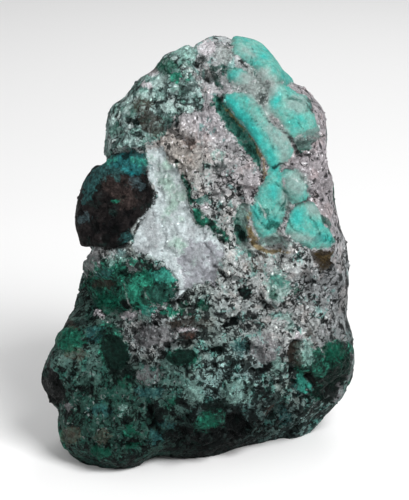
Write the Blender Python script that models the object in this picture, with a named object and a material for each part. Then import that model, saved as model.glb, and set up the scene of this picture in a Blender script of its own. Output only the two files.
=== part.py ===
"""A piece of rough malachite: one stone, a breccia of grey grainy matrix with blue-green chrysocolla
nodules, dark malachite lumps and a pale quartz patch grown into it. It stands on its broad end.

The stone is one solid. Its rounded masses and broken flats are worked out along each direction from
a point inside it. Its edge is then drawn out to the outline that it has from the front, its lumps,
hollows and grooves are raised and sunk, and the whole is made of fewer faces.
Lengths are millimetres until the last step, x to the right, y to the back and z up.
"""

import itertools
import math
from collections import namedtuple

import bmesh
import bpy
import numpy as np

# Driving dimensions
TO_METRES = 0.001
FRONT_FOOT = -20.0  # y of the foot that stands furthest forward
BASE_FLAT = 0.15  # points under this height are put flat on the ground
FACES = 9400  # triangles of the finished solid
CELLS = 80  # squares along each edge of the cube that the directions come from
STRETCH = (1.25, 1.0, 1.7)  # how the directions crowd towards the stone's far ends

# The front drawing: the stone as it looks from in front and a little above
VIEW_RISE = math.radians(18)
VIEW_AWAY = 420.0
VIEW_X = 1.5  # the point of the drawing that the eye looks straight at
VIEW_V = 44.6
LOWEST_V = FRONT_FOOT * math.sin(VIEW_RISE)

# The stone's outline on the front drawing, clockwise from the top: x, and v up from its lowest point
OUTLINE = [
    (3.2, 87.6), (8.2, 87.4), (12.3, 86.5), (14.4, 85.2), (16.2, 83.2), (17.2, 81.2), (18.5, 79.4),
    (20.2, 78.1), (22.3, 76.3), (24.3, 74.5), (25.9, 72.7), (26.5, 68.4), (26.1, 63.8), (26.5, 61.8),
    (27.6, 58.7), (27.5, 54.6), (28.7, 49.2), (29.9, 45.9), (30.4, 41.3), (30.3, 36.8), (29.9, 32.2),
    (30.7, 29.8), (31.5, 26.0), (31.6, 21.4), (30.7, 17.8), (27.6, 13.3), (25.1, 10.8), (22.9, 8.2),
    (20.3, 6.1), (14.4, 5.2), (7.2, 3.9), (2.6, 2.9), (-4.1, 2.8), (-6.4, 3.4), (-8.2, 2.8),
    (-10.4, 1.6), (-13.0, 0.3), (-16.6, 0.0), (-21.4, 1.2), (-24.7, 3.0), (-27.0, 5.3), (-28.2, 7.8),
    (-28.0, 11.6), (-28.6, 13.4), (-30.6, 16.2), (-31.4, 19.4), (-30.6, 22.2), (-29.2, 25.3),
    (-28.0, 28.1), (-26.0, 30.9), (-24.5, 33.7), (-23.5, 37.3), (-22.8, 41.1), (-22.2, 44.8),
    (-23.5, 47.0), (-24.6, 48.8), (-24.7, 50.8), (-24.0, 54.9), (-23.2, 57.7), (-21.2, 60.5),
    (-19.1, 62.8), (-18.3, 66.4), (-18.7, 69.4), (-18.6, 72.2), (-17.1, 73.5), (-13.6, 76.3),
    (-12.5, 78.6), (-10.4, 80.1), (-8.3, 80.9), (-7.9, 82.9), (-6.4, 84.5), (-3.8, 84.9), (-1.0, 85.8),
]
OUTLINE_MIDDLE = (0.6, 36.0)
SECTORS = 180  # parts of the turn in which the edge is measured against the outline
WHOLE_SOFTEN = 7.0  # sectors over which the whole stone's change is softened
RIM_SOFTEN = 1.3  # the same for the rim's change, and how many times the rim is drawn
RIM_ROUNDS = 3
RIM = 0.72  # share of the way out where drawing the rim alone begins
RIM_DEPTH = 8.0  # how far before and behind the edge the rim is drawn with it
# The stone's edge is worn smooth: where that begins and is complete, as shares of the way out to
# the outline, and the share of the broken relief that it takes away
WORN_FROM = 0.84
WORN_TO = 0.97
WORN_SHARE = 0.85

# The masses of the stone: centre and half sizes
INSIDE = (1.0, 0.5, 36.0)
MASSES = [
    ((1, 0, 14), (28, 20, 25)),  # foot
    ((4, 1, 40), (24, 18, 28)),  # waist
    ((3, 1, 60), (20, 16, 22)),  # head
    ((-14, -6, 50), (9, 11, 12)),  # dark boulder on the left
    ((-8, -1, 65), (10, 11, 10)),  # left shoulder
    ((-1, 2, 73), (9, 11, 9)),  # left of the crown
    ((8, 0, 71), (10, 13, 12)),  # right of the crown
    ((16, -3, 62), (9, 11, 11)),  # right shoulder
    ((19, -1, 42), (10, 14, 14)),  # right side
    ((20, -1, 20), (10, 13, 13)),  # lower right lobe
    ((-21, -4, 18), (9, 12, 11)),  # lower left lobe
    ((-15, -10, 8), (13, 11, 11)),  # foot that stands forward
    ((-9, 12, 26), (15, 11, 17)),  # lower back on the left
    ((11, 11, 44), (12, 10, 17)),  # upper back on the right
    ((14, 11, 12), (13, 11, 14)),  # back foot
    ((-5, 10, 58), (11, 9, 12)),  # upper back on the left
]
MASS_BLEND = 1.5

# The broken flats: the way each one faces, and how far it lies from the point inside
FLATS = [
    ((0.15, 1.0, 0.25), 20.5), ((-0.55, 0.8, -0.1), 20.5), ((0.8, 0.6, 0.1), 24.5),
    ((-0.35, 0.75, 0.6), 26.0), ((1.0, -0.35, 0.0), 28.5), ((-0.2, -1.0, 0.35), 20.5),
    ((0.35, -0.95, 0.1), 20.5), ((-0.75, -0.35, 0.65), 31.0), ((0.75, 0.35, 0.75), 39.0),
    ((-0.9, 0.4, 0.1), 25.0), ((-0.1, 0.4, 1.0), 45.0), ((0.62, -0.78, -0.45), 27.5),
]
FLAT_BLEND = 0.9
DEEPEST = 40.0  # depths past this count as this much when masses and flats are joined
# The surface is found by stepping in from this far out, each step a share of what is left
MARCH_FROM = 62.0
MARCH_STEPS = 26
MARCH_SHARE = 0.85

# Swells of the whole surface: width, height and seed of each
SWELLS = [(12.0, 1.2, 3), (6.0, 0.65, 4), (3.0, 0.32, 5)]
# Broken blocks of the matrix: width, how far they stand out, how far they lean, and seed
BLOCKS = [(9.0, 0.8, 0.16, 11), (4.2, 0.3, 0.16, 12)]

# Shapes on a side's drawing
Oval = namedtuple("Oval", "x v half_x half_v tilt")
Area = namedtuple("Area", "points")
Band = namedtuple("Band", "points")  # x, v and half width at each point
# A lump seen on its side's drawing. It ends at the depth `back`, measured towards that side's eye.
Lump = namedtuple("Lump", "side kind back shape")
# A lump around a point of the surface: turn from the front and height as angles, its radius, and
# how its long way leans
Ball = namedtuple("Ball", "kind turn climb radius lean")

# How each kind of lump stands: rise above the matrix, width of its rounded edge, groove round it,
# and the share of the broken blocks that shows through it
Relief = namedtuple("Relief", "rise edge groove broken")
RELIEF = {
    "boulder": Relief(1.6, 2.6, 0.9, 0.4),
    "mottled": Relief(0.7, 0.9, 0.4, 0.7),
    "quartz": Relief(-0.6, 1.0, 0.2, 0.6),
    "chrysocolla": Relief(0.9, 2.2, 0.15, 0.4),
    "malachite": Relief(0.6, 1.4, 0.2, 0.6),
    "hollow": Relief(-1.7, 1.0, 0.0, 0.5),
    "black": Relief(-0.8, 0.8, 0.15, 0.5),
}
GROOVE_WIDTH = 0.6
EDGE_SOFT = 0.3
# Waves in the lumps' edges: the fine ones are on all sides, the coarse ones not in front
Wander = namedtuple("Wander", "fine coarse")
WANDER = Wander((2.4, 0.4, 6), (5.5, 1.5, 7))  # width, height and seed of each
BALL_LENGTH = 1.5  # a ball's length against its width
FRONT_BACK = -8.0  # depth at which the front's lumps end
CROWN_BACK = -5.0  # the same for those at the very top
LUMP_END = 9.0  # radius with which a lump is rounded off at that depth
END_WANDER = 3.0  # how much more the coarse waves move a lump's end than its edge

LUMPS = [
    # Mottled lump at the top left and dark boulder below it
    Lump("front", "mottled", FRONT_BACK, Area([
        (-22, 66), (-22, 77), (-12, 88), (-1.4, 89), (-0.2, 79.6), (1.6, 74.6), (0.6, 72.6),
        (-3.4, 71.6), (-5.8, 68.2), (-10.4, 64.8), (-18.4, 64.6)])),
    Lump("front", "boulder", FRONT_BACK, Area([
        (-19.2, 62.8), (-16.4, 64.6), (-10.8, 64.2), (-9.4, 60.6), (-8.0, 55.6), (-10.4, 51.2),
        (-13.2, 46.6), (-14.8, 44.6), (-21.4, 45.2), (-28, 47), (-28, 58)])),
    # Quartz patch and the green vein along its right
    Lump("front", "quartz", FRONT_BACK, Area([
        (-10.0, 64.8), (-6.9, 64.8), (-4.6, 61.3), (-1.8, 57.4), (-1.0, 54.9), (-0.2, 50.0),
        (2.1, 49.5), (5.4, 45.4), (5.6, 43.4), (4.4, 41.1), (3.6, 38.0), (-0.2, 38.0), (-3.3, 35.0),
        (-5.1, 34.2), (-3.7, 37.3), (-6.1, 40.3), (-6.6, 42.4), (-11.7, 43.4), (-13.2, 44.7),
        (-13.2, 46.9), (-10.4, 51.3), (-8.5, 53.8), (-8.1, 55.9), (-9.4, 59.7), (-10.4, 63.6)])),
    Lump("front", "malachite", FRONT_BACK, Band([
        (-2.8, 59.2, 0.5), (-1.4, 56.6, 0.7), (-0.8, 53.6, 0.5), (0.6, 50.2, 0.8), (2.3, 50.3, 0.6),
        (4.9, 47.7, 0.7), (6.4, 45.9, 0.5)])),
    # Blue-green nodules on the right, with the hollows beside them
    Lump("front", "hollow", FRONT_BACK, Band([
        (3.2, 76.0, 0.6), (4.6, 73.4, 1.2), (6.3, 70.6, 1.5), (8.6, 67.6, 1.5), (10.6, 64.8, 1.2),
        (12.2, 62.2, 0.8), (12.9, 60.2, 0.4)])),
    Lump("front", "hollow", FRONT_BACK, Band([
        (9.6, 53.6, 0.6), (8.4, 50.2, 1.1), (9.0, 46.9, 1.1), (10.8, 43.8, 0.7)])),
    Lump("front", "hollow", FRONT_BACK, Area([(19.0, 66.6), (24.2, 66.6), (22.8, 64.2), (20.6, 63.6)])),
    Lump("front", "chrysocolla", CROWN_BACK, Area([
        (6.8, 86.2), (8.0, 91), (14, 92), (22, 86), (22, 80), (18.6, 78.8), (17.0, 78.4),
        (13.0, 78.8), (11.6, 81.2), (9.4, 83.2), (7.0, 84.6)])),
    Lump("front", "chrysocolla", FRONT_BACK, Oval(8.5, 79.6, 2.9, 1.9, -20)),
    Lump("front", "chrysocolla", FRONT_BACK, Area([
        (4.6, 75.8), (7.6, 76.2), (10.6, 76.0), (11.6, 74.8), (13.0, 73.2), (14.1, 71.6), (15.5, 69.8),
        (17.2, 68.4), (18.4, 66.2), (19.2, 64.2), (18.2, 62.8), (16.4, 61.0), (17.2, 58.0), (18.2, 54.6),
        (17.6, 52.0), (15.8, 48.4), (14.4, 47.0), (12.9, 46.8), (11.8, 48.2), (10.9, 50.4), (10.4, 53.2),
        (12.0, 55.2), (12.4, 57.4), (13.8, 60.0), (13.9, 61.8), (12.9, 64.2), (11.0, 67.2), (8.6, 70.2),
        (6.6, 73.0)])),
    Lump("front", "chrysocolla", FRONT_BACK, Area([
        (16.8, 61.0), (19.4, 61.6), (20.4, 59.6), (21.8, 58.0), (22.4, 56.2), (21.4, 54.8), (18.8, 54.0),
        (17.4, 55.6), (16.8, 58.4)])),
    Lump("front", "chrysocolla", FRONT_BACK, Area([
        (14.8, 77.6), (17.1, 78.6), (18.9, 77.6), (20.4, 76.6), (22.0, 75.8), (22.8, 74.0), (22.6, 72.0),
        (23.8, 70.2), (24.4, 68.6), (23.6, 67.6), (21.6, 67.2), (19.6, 66.8), (18.0, 67.7), (16.9, 69.4),
        (15.3, 71.0), (14.1, 72.2), (14.6, 75.0)])),
    Lump("front", "chrysocolla", FRONT_BACK, Area([
        (17.5, 50.4), (18.2, 52.6), (19.8, 53.8), (21.6, 54.4), (23.4, 54.0), (24.8, 51.4), (25.6, 49.2),
        (27.0, 48.0), (28.0, 46.4), (26.2, 45.2), (24.0, 44.8), (21.4, 45.6), (19.2, 46.8), (17.5, 48.4)])),
    # Dark green and black lumps of the lower half
    Lump("front", "malachite", FRONT_BACK, Area([
        (-21.2, 43.5), (-15.0, 42.5), (-10.0, 42.0), (-6.5, 40.5), (-3.7, 37.3), (-7.9, 33.4),
        (-15.0, 32.2), (-19.6, 34.2), (-22.5, 37.5)])),
    Lump("front", "malachite", FRONT_BACK, Oval(-6.8, 37.2, 2.5, 3.3, 10)),
    Lump("front", "mottled", FRONT_BACK, Oval(-15.5, 43.3, 1.4, 1.3, 0)),
    Lump("front", "malachite", FRONT_BACK, Oval(-26.0, 26.5, 3.4, 2.4, 0)),
    Lump("front", "malachite", FRONT_BACK, Oval(-16.8, 25.4, 3.0, 4.2, 15)),
    Lump("front", "malachite", FRONT_BACK, Oval(-3.2, 23.0, 3.3, 1.7, -5)),
    Lump("front", "malachite", FRONT_BACK, Area([
        (27.1, 26.2), (32, 26.6), (33, 22), (31, 17), (27.9, 14.6), (25.4, 13.8), (22.9, 13.8),
        (22.6, 16.6), (23.7, 22.0), (26.2, 22.8)])),
    Lump("front", "black", FRONT_BACK, Oval(-29.5, 17.0, 2.8, 3.6, 0)),
    Lump("front", "black", FRONT_BACK, Oval(9.6, 36.0, 1.8, 0.9, -30)),
    Lump("front", "black", FRONT_BACK, Oval(6.6, 30.0, 2.0, 0.8, 25)),
    Lump("front", "black", FRONT_BACK, Oval(3.6, 24.6, 1.6, 0.9, -10)),
    Lump("front", "black", FRONT_BACK, Oval(14.6, 21.2, 1.9, 0.9, 35)),
    Lump("front", "black", FRONT_BACK, Oval(19.6, 24.2, 1.6, 2.8, 0)),
    Lump("front", "malachite", FRONT_BACK, Oval(2.6, 10.8, 3.4, 2.0, 10)),
    Lump("front", "black", FRONT_BACK, Oval(8.4, 10.0, 2.6, 1.4, -15)),
    # The back: a boulder, a run of nodules, a pale vein and a broken step
    Lump("back", "boulder", 4.0, Area([
        (2, 44), (9, 47), (15, 43), (17, 35), (13, 27), (6, 25), (0, 30), (-2, 38)])),
    Lump("back", "quartz", 4.0, Band([
        (-20, 20, 1.4), (-12, 27, 2.2), (-5, 37, 2.8), (-2, 49, 3.2), (3, 57, 2.4), (6, 66, 1.4)])),
    Lump("back", "chrysocolla", 3.0, Oval(-11.5, 55.0, 4.4, 3.2, 30)),
    Lump("back", "chrysocolla", 3.0, Oval(-15.5, 48.0, 2.8, 3.4, -10)),
    Lump("back", "chrysocolla", 3.0, Band([(-10, 64, 2.2), (-5, 69, 2.0), (1, 71, 1.5)])),
    Lump("back", "malachite", 3.0, Oval(13.0, 58.0, 4.2, 3.0, -35)),
    Lump("back", "malachite", 3.0, Area([(-16, 8), (-8, 12), (-3, 8), (-6, 3), (-15, 3)])),
    Lump("back", "hollow", 3.0, Band([(18, 22, 0.9), (12, 18, 1.1), (5, 17, 0.8), (0, 13, 0.9)])),
    Lump("back", "malachite", 3.0, Oval(20.5, 12.0, 3.4, 4.4, 0)),
    # The right side
    Lump("right", "malachite", 14.0, Area([(1, 54), (8, 56), (12, 49), (9, 42), (3, 43)])),
    Lump("right", "chrysocolla", 14.0, Oval(3.5, 64.0, 3.6, 2.6, 20)),
    Lump("right", "black", 14.0, Oval(8.0, 33.0, 3.4, 1.4, 40)),
    Lump("right", "malachite", 14.0, Oval(5.5, 14.0, 5.0, 3.4, -10)),
    # The left side
    Lump("left", "malachite", 12.0, Area([(-12, 36), (-5, 39), (-2, 33), (-6, 27), (-13, 29)])),
    Lump("left", "chrysocolla", 12.0, Oval(-8.0, 48.0, 2.6, 3.6, 10)),
    Lump("left", "mottled", 12.0, Oval(-9.0, 14.0, 5.0, 4.0, 20)),
]
BALLS = [
    Ball("malachite", 150, 58, 3.2, 20),
    Ball("chrysocolla", 202, 64, 2.6, -30),
    Ball("malachite", 100, 48, 2.8, 10),
    Ball("malachite", 130, -18, 3.0, -25),
    Ball("black", 165, -30, 2.4, 15),
    Ball("malachite", 215, -12, 3.0, 35),
    Ball("black", 240, 20, 2.2, -15),
    Ball("malachite", 262, -38, 3.0, 10),
    Ball("chrysocolla", 190, -36, 1.9, 20),
    Ball("black", 80, -40, 2.2, -10),
    Ball("malachite", 228, 44, 2.8, -20),
    Ball("malachite", 290, -46, 2.4, 0),
    Ball("mottled", 175, 38, 3.4, 30),
    Ball("mottled", 120, 8, 3.6, -35),
    Ball("mottled", 245, -16, 3.8, 25),
    Ball("malachite", 60, -30, 2.4, 15),
    Ball("black", 205, 22, 1.9, 40),
    Ball("boulder", 105, -34, 4.2, 10),
    Ball("quartz", 235, 58, 2.6, -20),
    Ball("quartz", 140, 30, 2.4, 45),
]


def smooth_step(low, high, value):
    part = np.clip((value - low) / (high - low), 0.0, 1.0)
    return part * part * (3.0 - 2.0 * part)


def unit(rows):
    return rows / np.linalg.norm(rows, axis=1)[:, None]


def direction_cube(cells):
    """The directions from a cube's middle to evenly spread points on it, and the squares between."""
    cube = bmesh.new()
    bmesh.ops.create_cube(cube, size=2.0)
    bmesh.ops.subdivide_edges(cube, edges=cube.edges[:], cuts=cells - 1, use_grid_fill=True)
    corners = np.array([vertex.co for vertex in cube.verts])
    squares = np.array([[vertex.index for vertex in face.verts] for face in cube.faces])
    cube.free()
    return unit(np.tan(corners * math.pi / 4)), squares


def body_depth(points):
    """How far each point lies outside the joined masses, or inside them where it is negative."""
    inside = np.zeros(len(points))
    for centre, half in MASSES:
        scaled = (points - np.array(centre)) / np.array(half)
        far = np.linalg.norm(scaled, axis=1)
        depth = far * (far - 1.0) / np.maximum(np.linalg.norm(scaled / np.array(half), axis=1), 1e-6)
        inside += np.exp(-np.clip(depth, -DEEPEST, DEEPEST) / MASS_BLEND)
    outside = np.exp(-MASS_BLEND * np.log(inside) / FLAT_BLEND)
    for facing, away in FLATS:
        facing = np.array(facing) / np.linalg.norm(facing)
        depth = np.clip((points - np.array(INSIDE)) @ facing - away, -DEEPEST, DEEPEST)
        outside += np.exp(depth / FLAT_BLEND)
    return FLAT_BLEND * np.log(outside)


def body_points(ways):
    """Where the body ends along each direction, found by stepping in from outside it."""
    reach = np.full(len(ways), MARCH_FROM)
    for _ in range(MARCH_STEPS):
        reach -= MARCH_SHARE * body_depth(np.array(INSIDE) + ways * reach[:, None])
    return np.array(INSIDE) + ways * reach[:, None]


def noise(points, width, seed, count=24):
    """Smooth waves between -1 and 1 over the points, of about the width given."""
    lattice = np.random.default_rng(seed).uniform(-1.0, 1.0, (count, count, count))
    place = points / width
    home = np.floor(place).astype(int)
    part = smooth_step(0.0, 1.0, place - home)
    total = np.zeros(len(points))
    for corner in itertools.product((0, 1), repeat=3):
        at = (home + corner) % count
        share = np.prod(np.where(corner, part, 1.0 - part), axis=1)
        total += share * lattice[at[:, 0], at[:, 1], at[:, 2]]
    return total


def blocks(points, width, stand, lean, seed, count=20):
    """The surface of broken blocks: each stands out by its own amount and leans its own way."""
    rng = np.random.default_rng(seed)
    middles = rng.random((count, count, count, 3))
    stands = rng.uniform(-stand, stand, (count, count, count))
    leans = rng.normal(0.0, lean, (count, count, count, 3))
    place = points / width
    home = np.floor(place).astype(int)
    nearest = np.full(len(points), np.inf)
    height = np.zeros(len(points))
    for step in itertools.product((-1, 0, 1), repeat=3):
        at = home + step
        key = tuple((at % count).T)
        offset = at + middles[key] - place
        away = np.linalg.norm(offset, axis=1)
        closer = away < nearest
        nearest = np.where(closer, away, nearest)
        leaning = stands[key] + width * np.sum(offset * leans[key], axis=1)
        height = np.where(closer, leaning, height)
    return np.clip(height, -2.0 * stand, 2.0 * stand)


def outward(points, squares):
    """The way the surface faces at each point."""
    across = points[squares[:, 2]] - points[squares[:, 0]]
    facing = np.cross(across, points[squares[:, 3]] - points[squares[:, 1]])
    total = np.zeros_like(points)
    for corner in range(4):
        np.add.at(total, squares[:, corner], facing)
    return unit(total)


def front_drawing(points):
    """Each point's x and v on the front drawing, how far it lies towards the eye, and the scale there."""
    middle = np.array([VIEW_X, 0.0, (VIEW_V + LOWEST_V) / math.cos(VIEW_RISE)])
    offset = points - middle
    near = -offset[:, 1] * math.cos(VIEW_RISE) + offset[:, 2] * math.sin(VIEW_RISE)
    rise = offset[:, 1] * math.sin(VIEW_RISE) + offset[:, 2] * math.cos(VIEW_RISE)
    scale = VIEW_AWAY / (VIEW_AWAY - near)
    return VIEW_X + offset[:, 0] * scale, VIEW_V + rise * scale, near, scale


def side_drawings(points):
    """Each side's drawing of the points: across, up and towards the eye."""
    x, y, z = points.T
    across, up, near, _ = front_drawing(points)
    return {"front": (across, up, near), "back": (-x, z, y), "right": (y, z, x), "left": (-y, z, -x)}


def draw_to_outline(points, soften, rim):
    """Moves the points so that the edge of their front drawing follows the outline.

    The change is softened over that many sectors. With rim it acts only near the edge.
    """
    across, up, near, scale = front_drawing(points)
    across = across - OUTLINE_MIDDLE[0]
    up = up - OUTLINE_MIDDLE[1]
    turn = np.arctan2(up, across)
    reach = np.hypot(across, up)
    middles = (np.arange(SECTORS) + 0.5) * math.tau / SECTORS - math.pi
    sector = ((turn + math.pi) / math.tau * SECTORS).astype(int) % SECTORS
    furthest = np.argsort(reach)
    edge = np.zeros(SECTORS)
    edge[sector[furthest]] = reach[furthest]
    edge_near = np.zeros(SECTORS)
    edge_near[sector[furthest]] = near[furthest]
    drawn = np.array(OUTLINE) - np.array(OUTLINE_MIDDLE)
    wanted = np.interp(middles, *sorted_turn(drawn), period=math.tau)
    change = np.interp(turn, middles, softened(wanted / edge, soften), period=math.tau) - 1.0
    if rim:
        change *= smooth_step(RIM, 1.0, reach / np.interp(turn, middles, edge, period=math.tau))
        depth = near - np.interp(turn, middles, softened(edge_near, 4.0 * soften), period=math.tau)
        change *= np.exp(-((depth / RIM_DEPTH) ** 2))
    moved = points.copy()
    moved[:, 0] += change * across / scale
    moved[:, 1] += change * up / scale * math.sin(VIEW_RISE)
    moved[:, 2] += change * up / scale * math.cos(VIEW_RISE)
    return moved


def softened(values, soften):
    """The values round the turn, each averaged with its neighbours."""
    steps = np.arange(SECTORS) - SECTORS // 2
    weight = np.exp(-0.5 * (steps / soften) ** 2)
    rows = [np.sum(weight * np.roll(values, SECTORS // 2 - at)) for at in range(SECTORS)]
    return np.array(rows) / weight.sum()


def sorted_turn(drawn):
    turn = np.arctan2(drawn[:, 1], drawn[:, 0])
    order = np.argsort(turn)
    return turn[order], np.hypot(drawn[order, 0], drawn[order, 1])


def unworn(points):
    """The share of its broken relief that each point keeps, less near the edge of the front drawing."""
    across, up, _, _ = front_drawing(points)
    across = across - OUTLINE_MIDDLE[0]
    up = up - OUTLINE_MIDDLE[1]
    drawn = np.array(OUTLINE) - np.array(OUTLINE_MIDDLE)
    edge = np.interp(np.arctan2(up, across), *sorted_turn(drawn), period=math.tau)
    return 1.0 - WORN_SHARE * smooth_step(WORN_FROM, WORN_TO, np.hypot(across, up) / edge)


def oval_distance(oval, x, v):
    tilt = math.radians(oval.tilt)
    along = ((x - oval.x) * math.cos(tilt) + (v - oval.v) * math.sin(tilt)) / oval.half_x
    across = ((v - oval.v) * math.cos(tilt) - (x - oval.x) * math.sin(tilt)) / oval.half_v
    far = np.hypot(along, across)
    slope = np.hypot(along / oval.half_x, across / oval.half_v)
    return far * (far - 1.0) / np.maximum(slope, 1e-6)


def segment_place(start, end, x, v):
    """How far along the segment each point's nearest place on it is, and how far away that is."""
    run = np.array(end) - np.array(start)
    along = np.clip(((x - start[0]) * run[0] + (v - start[1]) * run[1]) / (run @ run), 0.0, 1.0)
    return along, np.hypot(x - start[0] - along * run[0], v - start[1] - along * run[1])


def area_distance(area, x, v):
    away = np.full(len(x), np.inf)
    inside = np.zeros(len(x), bool)
    for start, end in zip(area.points, area.points[1:] + area.points[:1]):
        away = np.minimum(away, segment_place(start, end, x, v)[1])
        if start[1] == end[1]:
            continue
        crossing = start[0] + (v - start[1]) * (end[0] - start[0]) / (end[1] - start[1])
        inside ^= ((start[1] > v) != (end[1] > v)) & (x < crossing)
    return np.where(inside, -away, away)


def band_distance(band, x, v):
    away = np.full(len(x), np.inf)
    for start, end in zip(band.points, band.points[1:]):
        along, far = segment_place(start[:2], end[:2], x, v)
        away = np.minimum(away, far - start[2] - along * (end[2] - start[2]))
    return away


DISTANCES = {Oval: oval_distance, Area: area_distance, Band: band_distance}


def lump_distance(lump, drawings, wander):
    """How far each point lies outside the lump, or inside it where it is negative."""
    across, up, near = drawings[lump.side]
    away = DISTANCES[type(lump.shape)](lump.shape, across, up) + LUMP_END
    away = away + wander.fine + (0.0 if lump.side == "front" else wander.coarse)
    behind = lump.back - near + LUMP_END + END_WANDER * wander.coarse
    outside = np.hypot(np.maximum(away, 0.0), np.maximum(behind, 0.0))
    return outside + np.minimum(np.maximum(away, behind), 0.0) - LUMP_END


def ball_distance(ball, points, wander):
    """The same for a ball, which is longer across the slope of the ground than up it."""
    turn, climb = math.radians(ball.turn), math.radians(ball.climb)
    way = np.array([
        math.sin(turn) * math.cos(climb), -math.cos(turn) * math.cos(climb), math.sin(climb)])
    facing = unit(points - np.array(INSIDE)) @ way
    offset = points - points[np.argmax(facing)]
    lean = math.radians(ball.lean)
    long_way = np.array([
        math.cos(turn) * math.cos(lean), math.sin(turn) * math.cos(lean), math.sin(lean)])
    along = offset @ long_way
    across = np.linalg.norm(offset - along[:, None] * long_way, axis=1)
    return np.hypot(along / BALL_LENGTH, across) - ball.radius + wander.fine + wander.coarse


def lump_relief(points):
    """How far the lumps raise each point, and the share of the broken blocks that it keeps."""
    drawings = side_drawings(points)
    wander = Wander(*(height * noise(points, width, seed) for width, height, seed in WANDER))
    found = [(lump.kind, lump_distance(lump, drawings, wander)) for lump in LUMPS]
    found += [(ball.kind, ball_distance(ball, points, wander)) for ball in BALLS]
    raised = np.zeros(len(points))
    broken = np.ones(len(points))
    for kind, away in found:
        relief = RELIEF[kind]
        inward = np.clip(-away / relief.edge, 0.0, 1.0)
        rise = relief.rise * np.sqrt(1.0 - (1.0 - inward) ** 2)
        cover = smooth_step(-EDGE_SOFT, EDGE_SOFT, -away)
        raised += cover * (rise - raised)
        broken += cover * (relief.broken - broken)
        raised -= relief.groove * np.exp(-((away / GROOVE_WIDTH) ** 2))
    return raised, broken


def stone_points(ways, squares):
    """The stone's surface along each direction, standing on z = 0."""
    points = body_points(ways)
    points = draw_to_outline(points, WHOLE_SOFTEN, rim=False)
    swell = sum(height * noise(points, width, seed) for width, height, seed in SWELLS)
    points = points + outward(points, squares) * swell[:, None]
    raised, broken = lump_relief(points)
    raised += unworn(points) * broken * sum(blocks(points, *block) for block in BLOCKS)
    points = points + outward(points, squares) * raised[:, None]
    for _ in range(RIM_ROUNDS):
        points = draw_to_outline(points, RIM_SOFTEN, rim=True)
    points[:, 2] = np.maximum(points[:, 2], 0.0)
    return points


def stone_material():
    material = bpy.data.materials.new("rough malachite stone")
    material.use_nodes = True
    shader = material.node_tree.nodes["Principled BSDF"]
    shader.inputs["Base Color"].default_value = (0.10, 0.19, 0.17, 1.0)
    shader.inputs["Roughness"].default_value = 0.75
    return material


def stone():
    cube_ways, squares = direction_cube(CELLS)
    ways = unit(cube_ways * np.array(STRETCH))
    fine = bpy.data.meshes.new("fine stone")
    fine.from_pydata(stone_points(ways, squares), [], squares.tolist())
    made = bpy.data.objects.new("stone", fine)
    bpy.context.scene.collection.objects.link(made)
    fewer = made.modifiers.new("fewer faces", "DECIMATE")
    fewer.ratio = FACES / (2 * len(squares))
    graph = bpy.context.evaluated_depsgraph_get()
    made.data = bpy.data.meshes.new_from_object(made.evaluated_get(graph))
    made.modifiers.remove(fewer)
    bpy.data.meshes.remove(fine)
    stand(made.data)
    made.data.materials.append(stone_material())


def stand(mesh):
    """Flattens the base, puts the middle of the stone's box over the origin, and turns it to metres."""
    points = np.array([vertex.co for vertex in mesh.vertices])
    points[:, 2] = np.where(points[:, 2] < BASE_FLAT, 0.0, points[:, 2])
    points[:, :2] -= (points.max(axis=0) + points.min(axis=0))[:2] / 2
    mesh.vertices.foreach_set("co", (points * TO_METRES).ravel())
    mesh.update()


def main():
    for old in list(bpy.data.objects):
        bpy.data.objects.remove(old)
    stone()


if __name__ == "__main__":
    main()
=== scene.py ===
"""The looks of a piece of rough malachite: a grey grainy breccia with blue-green chrysocolla nodules,
dark malachite lumps and a pale quartz patch. One stone, standing on its broad end.

The stone is made again with the part's own shapes, in far smaller steps, and gets the relief of its
grains. What each place is made of is kept on the mesh as distances, and the material reads them.
Lengths are millimetres until the last step, x to the right, y to the back and z up.
"""

import itertools
import math
from collections import namedtuple

import bmesh
import bpy
import numpy as np
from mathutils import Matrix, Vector


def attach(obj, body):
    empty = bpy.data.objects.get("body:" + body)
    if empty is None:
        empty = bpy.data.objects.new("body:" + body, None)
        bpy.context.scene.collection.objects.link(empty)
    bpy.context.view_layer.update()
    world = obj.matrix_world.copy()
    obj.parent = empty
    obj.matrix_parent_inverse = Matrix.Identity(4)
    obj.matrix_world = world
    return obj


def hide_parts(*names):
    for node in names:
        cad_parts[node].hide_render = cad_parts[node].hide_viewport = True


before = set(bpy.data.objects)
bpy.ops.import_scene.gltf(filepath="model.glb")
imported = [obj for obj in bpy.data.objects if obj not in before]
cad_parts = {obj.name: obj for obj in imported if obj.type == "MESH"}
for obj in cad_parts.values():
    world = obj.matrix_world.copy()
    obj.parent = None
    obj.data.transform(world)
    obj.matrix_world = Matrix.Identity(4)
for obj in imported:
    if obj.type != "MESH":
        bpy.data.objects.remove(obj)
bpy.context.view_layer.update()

# Sizes shared with the part
TO_METRES = 0.001
FRONT_FOOT = -20.0  # y of the foot that stands furthest forward
STRETCH = (1.25, 1.0, 1.7)  # how the directions crowd towards the stone's far ends

CELLS = 126  # squares along each edge of the cube that the directions come from
TINY = 1e-6  # the least that a slope counts as where something is divided by it

# The front drawing: the stone as it looks from in front and a little above
VIEW_RISE = math.radians(18)
VIEW_AWAY = 420.0
VIEW_X = 1.5  # the point of the drawing that the eye looks straight at
VIEW_V = 44.6
LOWEST_V = FRONT_FOOT * math.sin(VIEW_RISE)
VIEW_AIM = (VIEW_X, 0.0, (VIEW_V + LOWEST_V) / math.cos(VIEW_RISE))  # that point, where y is 0

# The photo's frame, its height and its focal length in pixels
PHOTO_HEIGHT = 500
FOCAL_PIXELS = 2100
WIDEST_SENSOR = 36.0  # millimetres, along the frame's longer side
NEAREST_SEEN = 0.01  # metres from the camera

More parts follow.
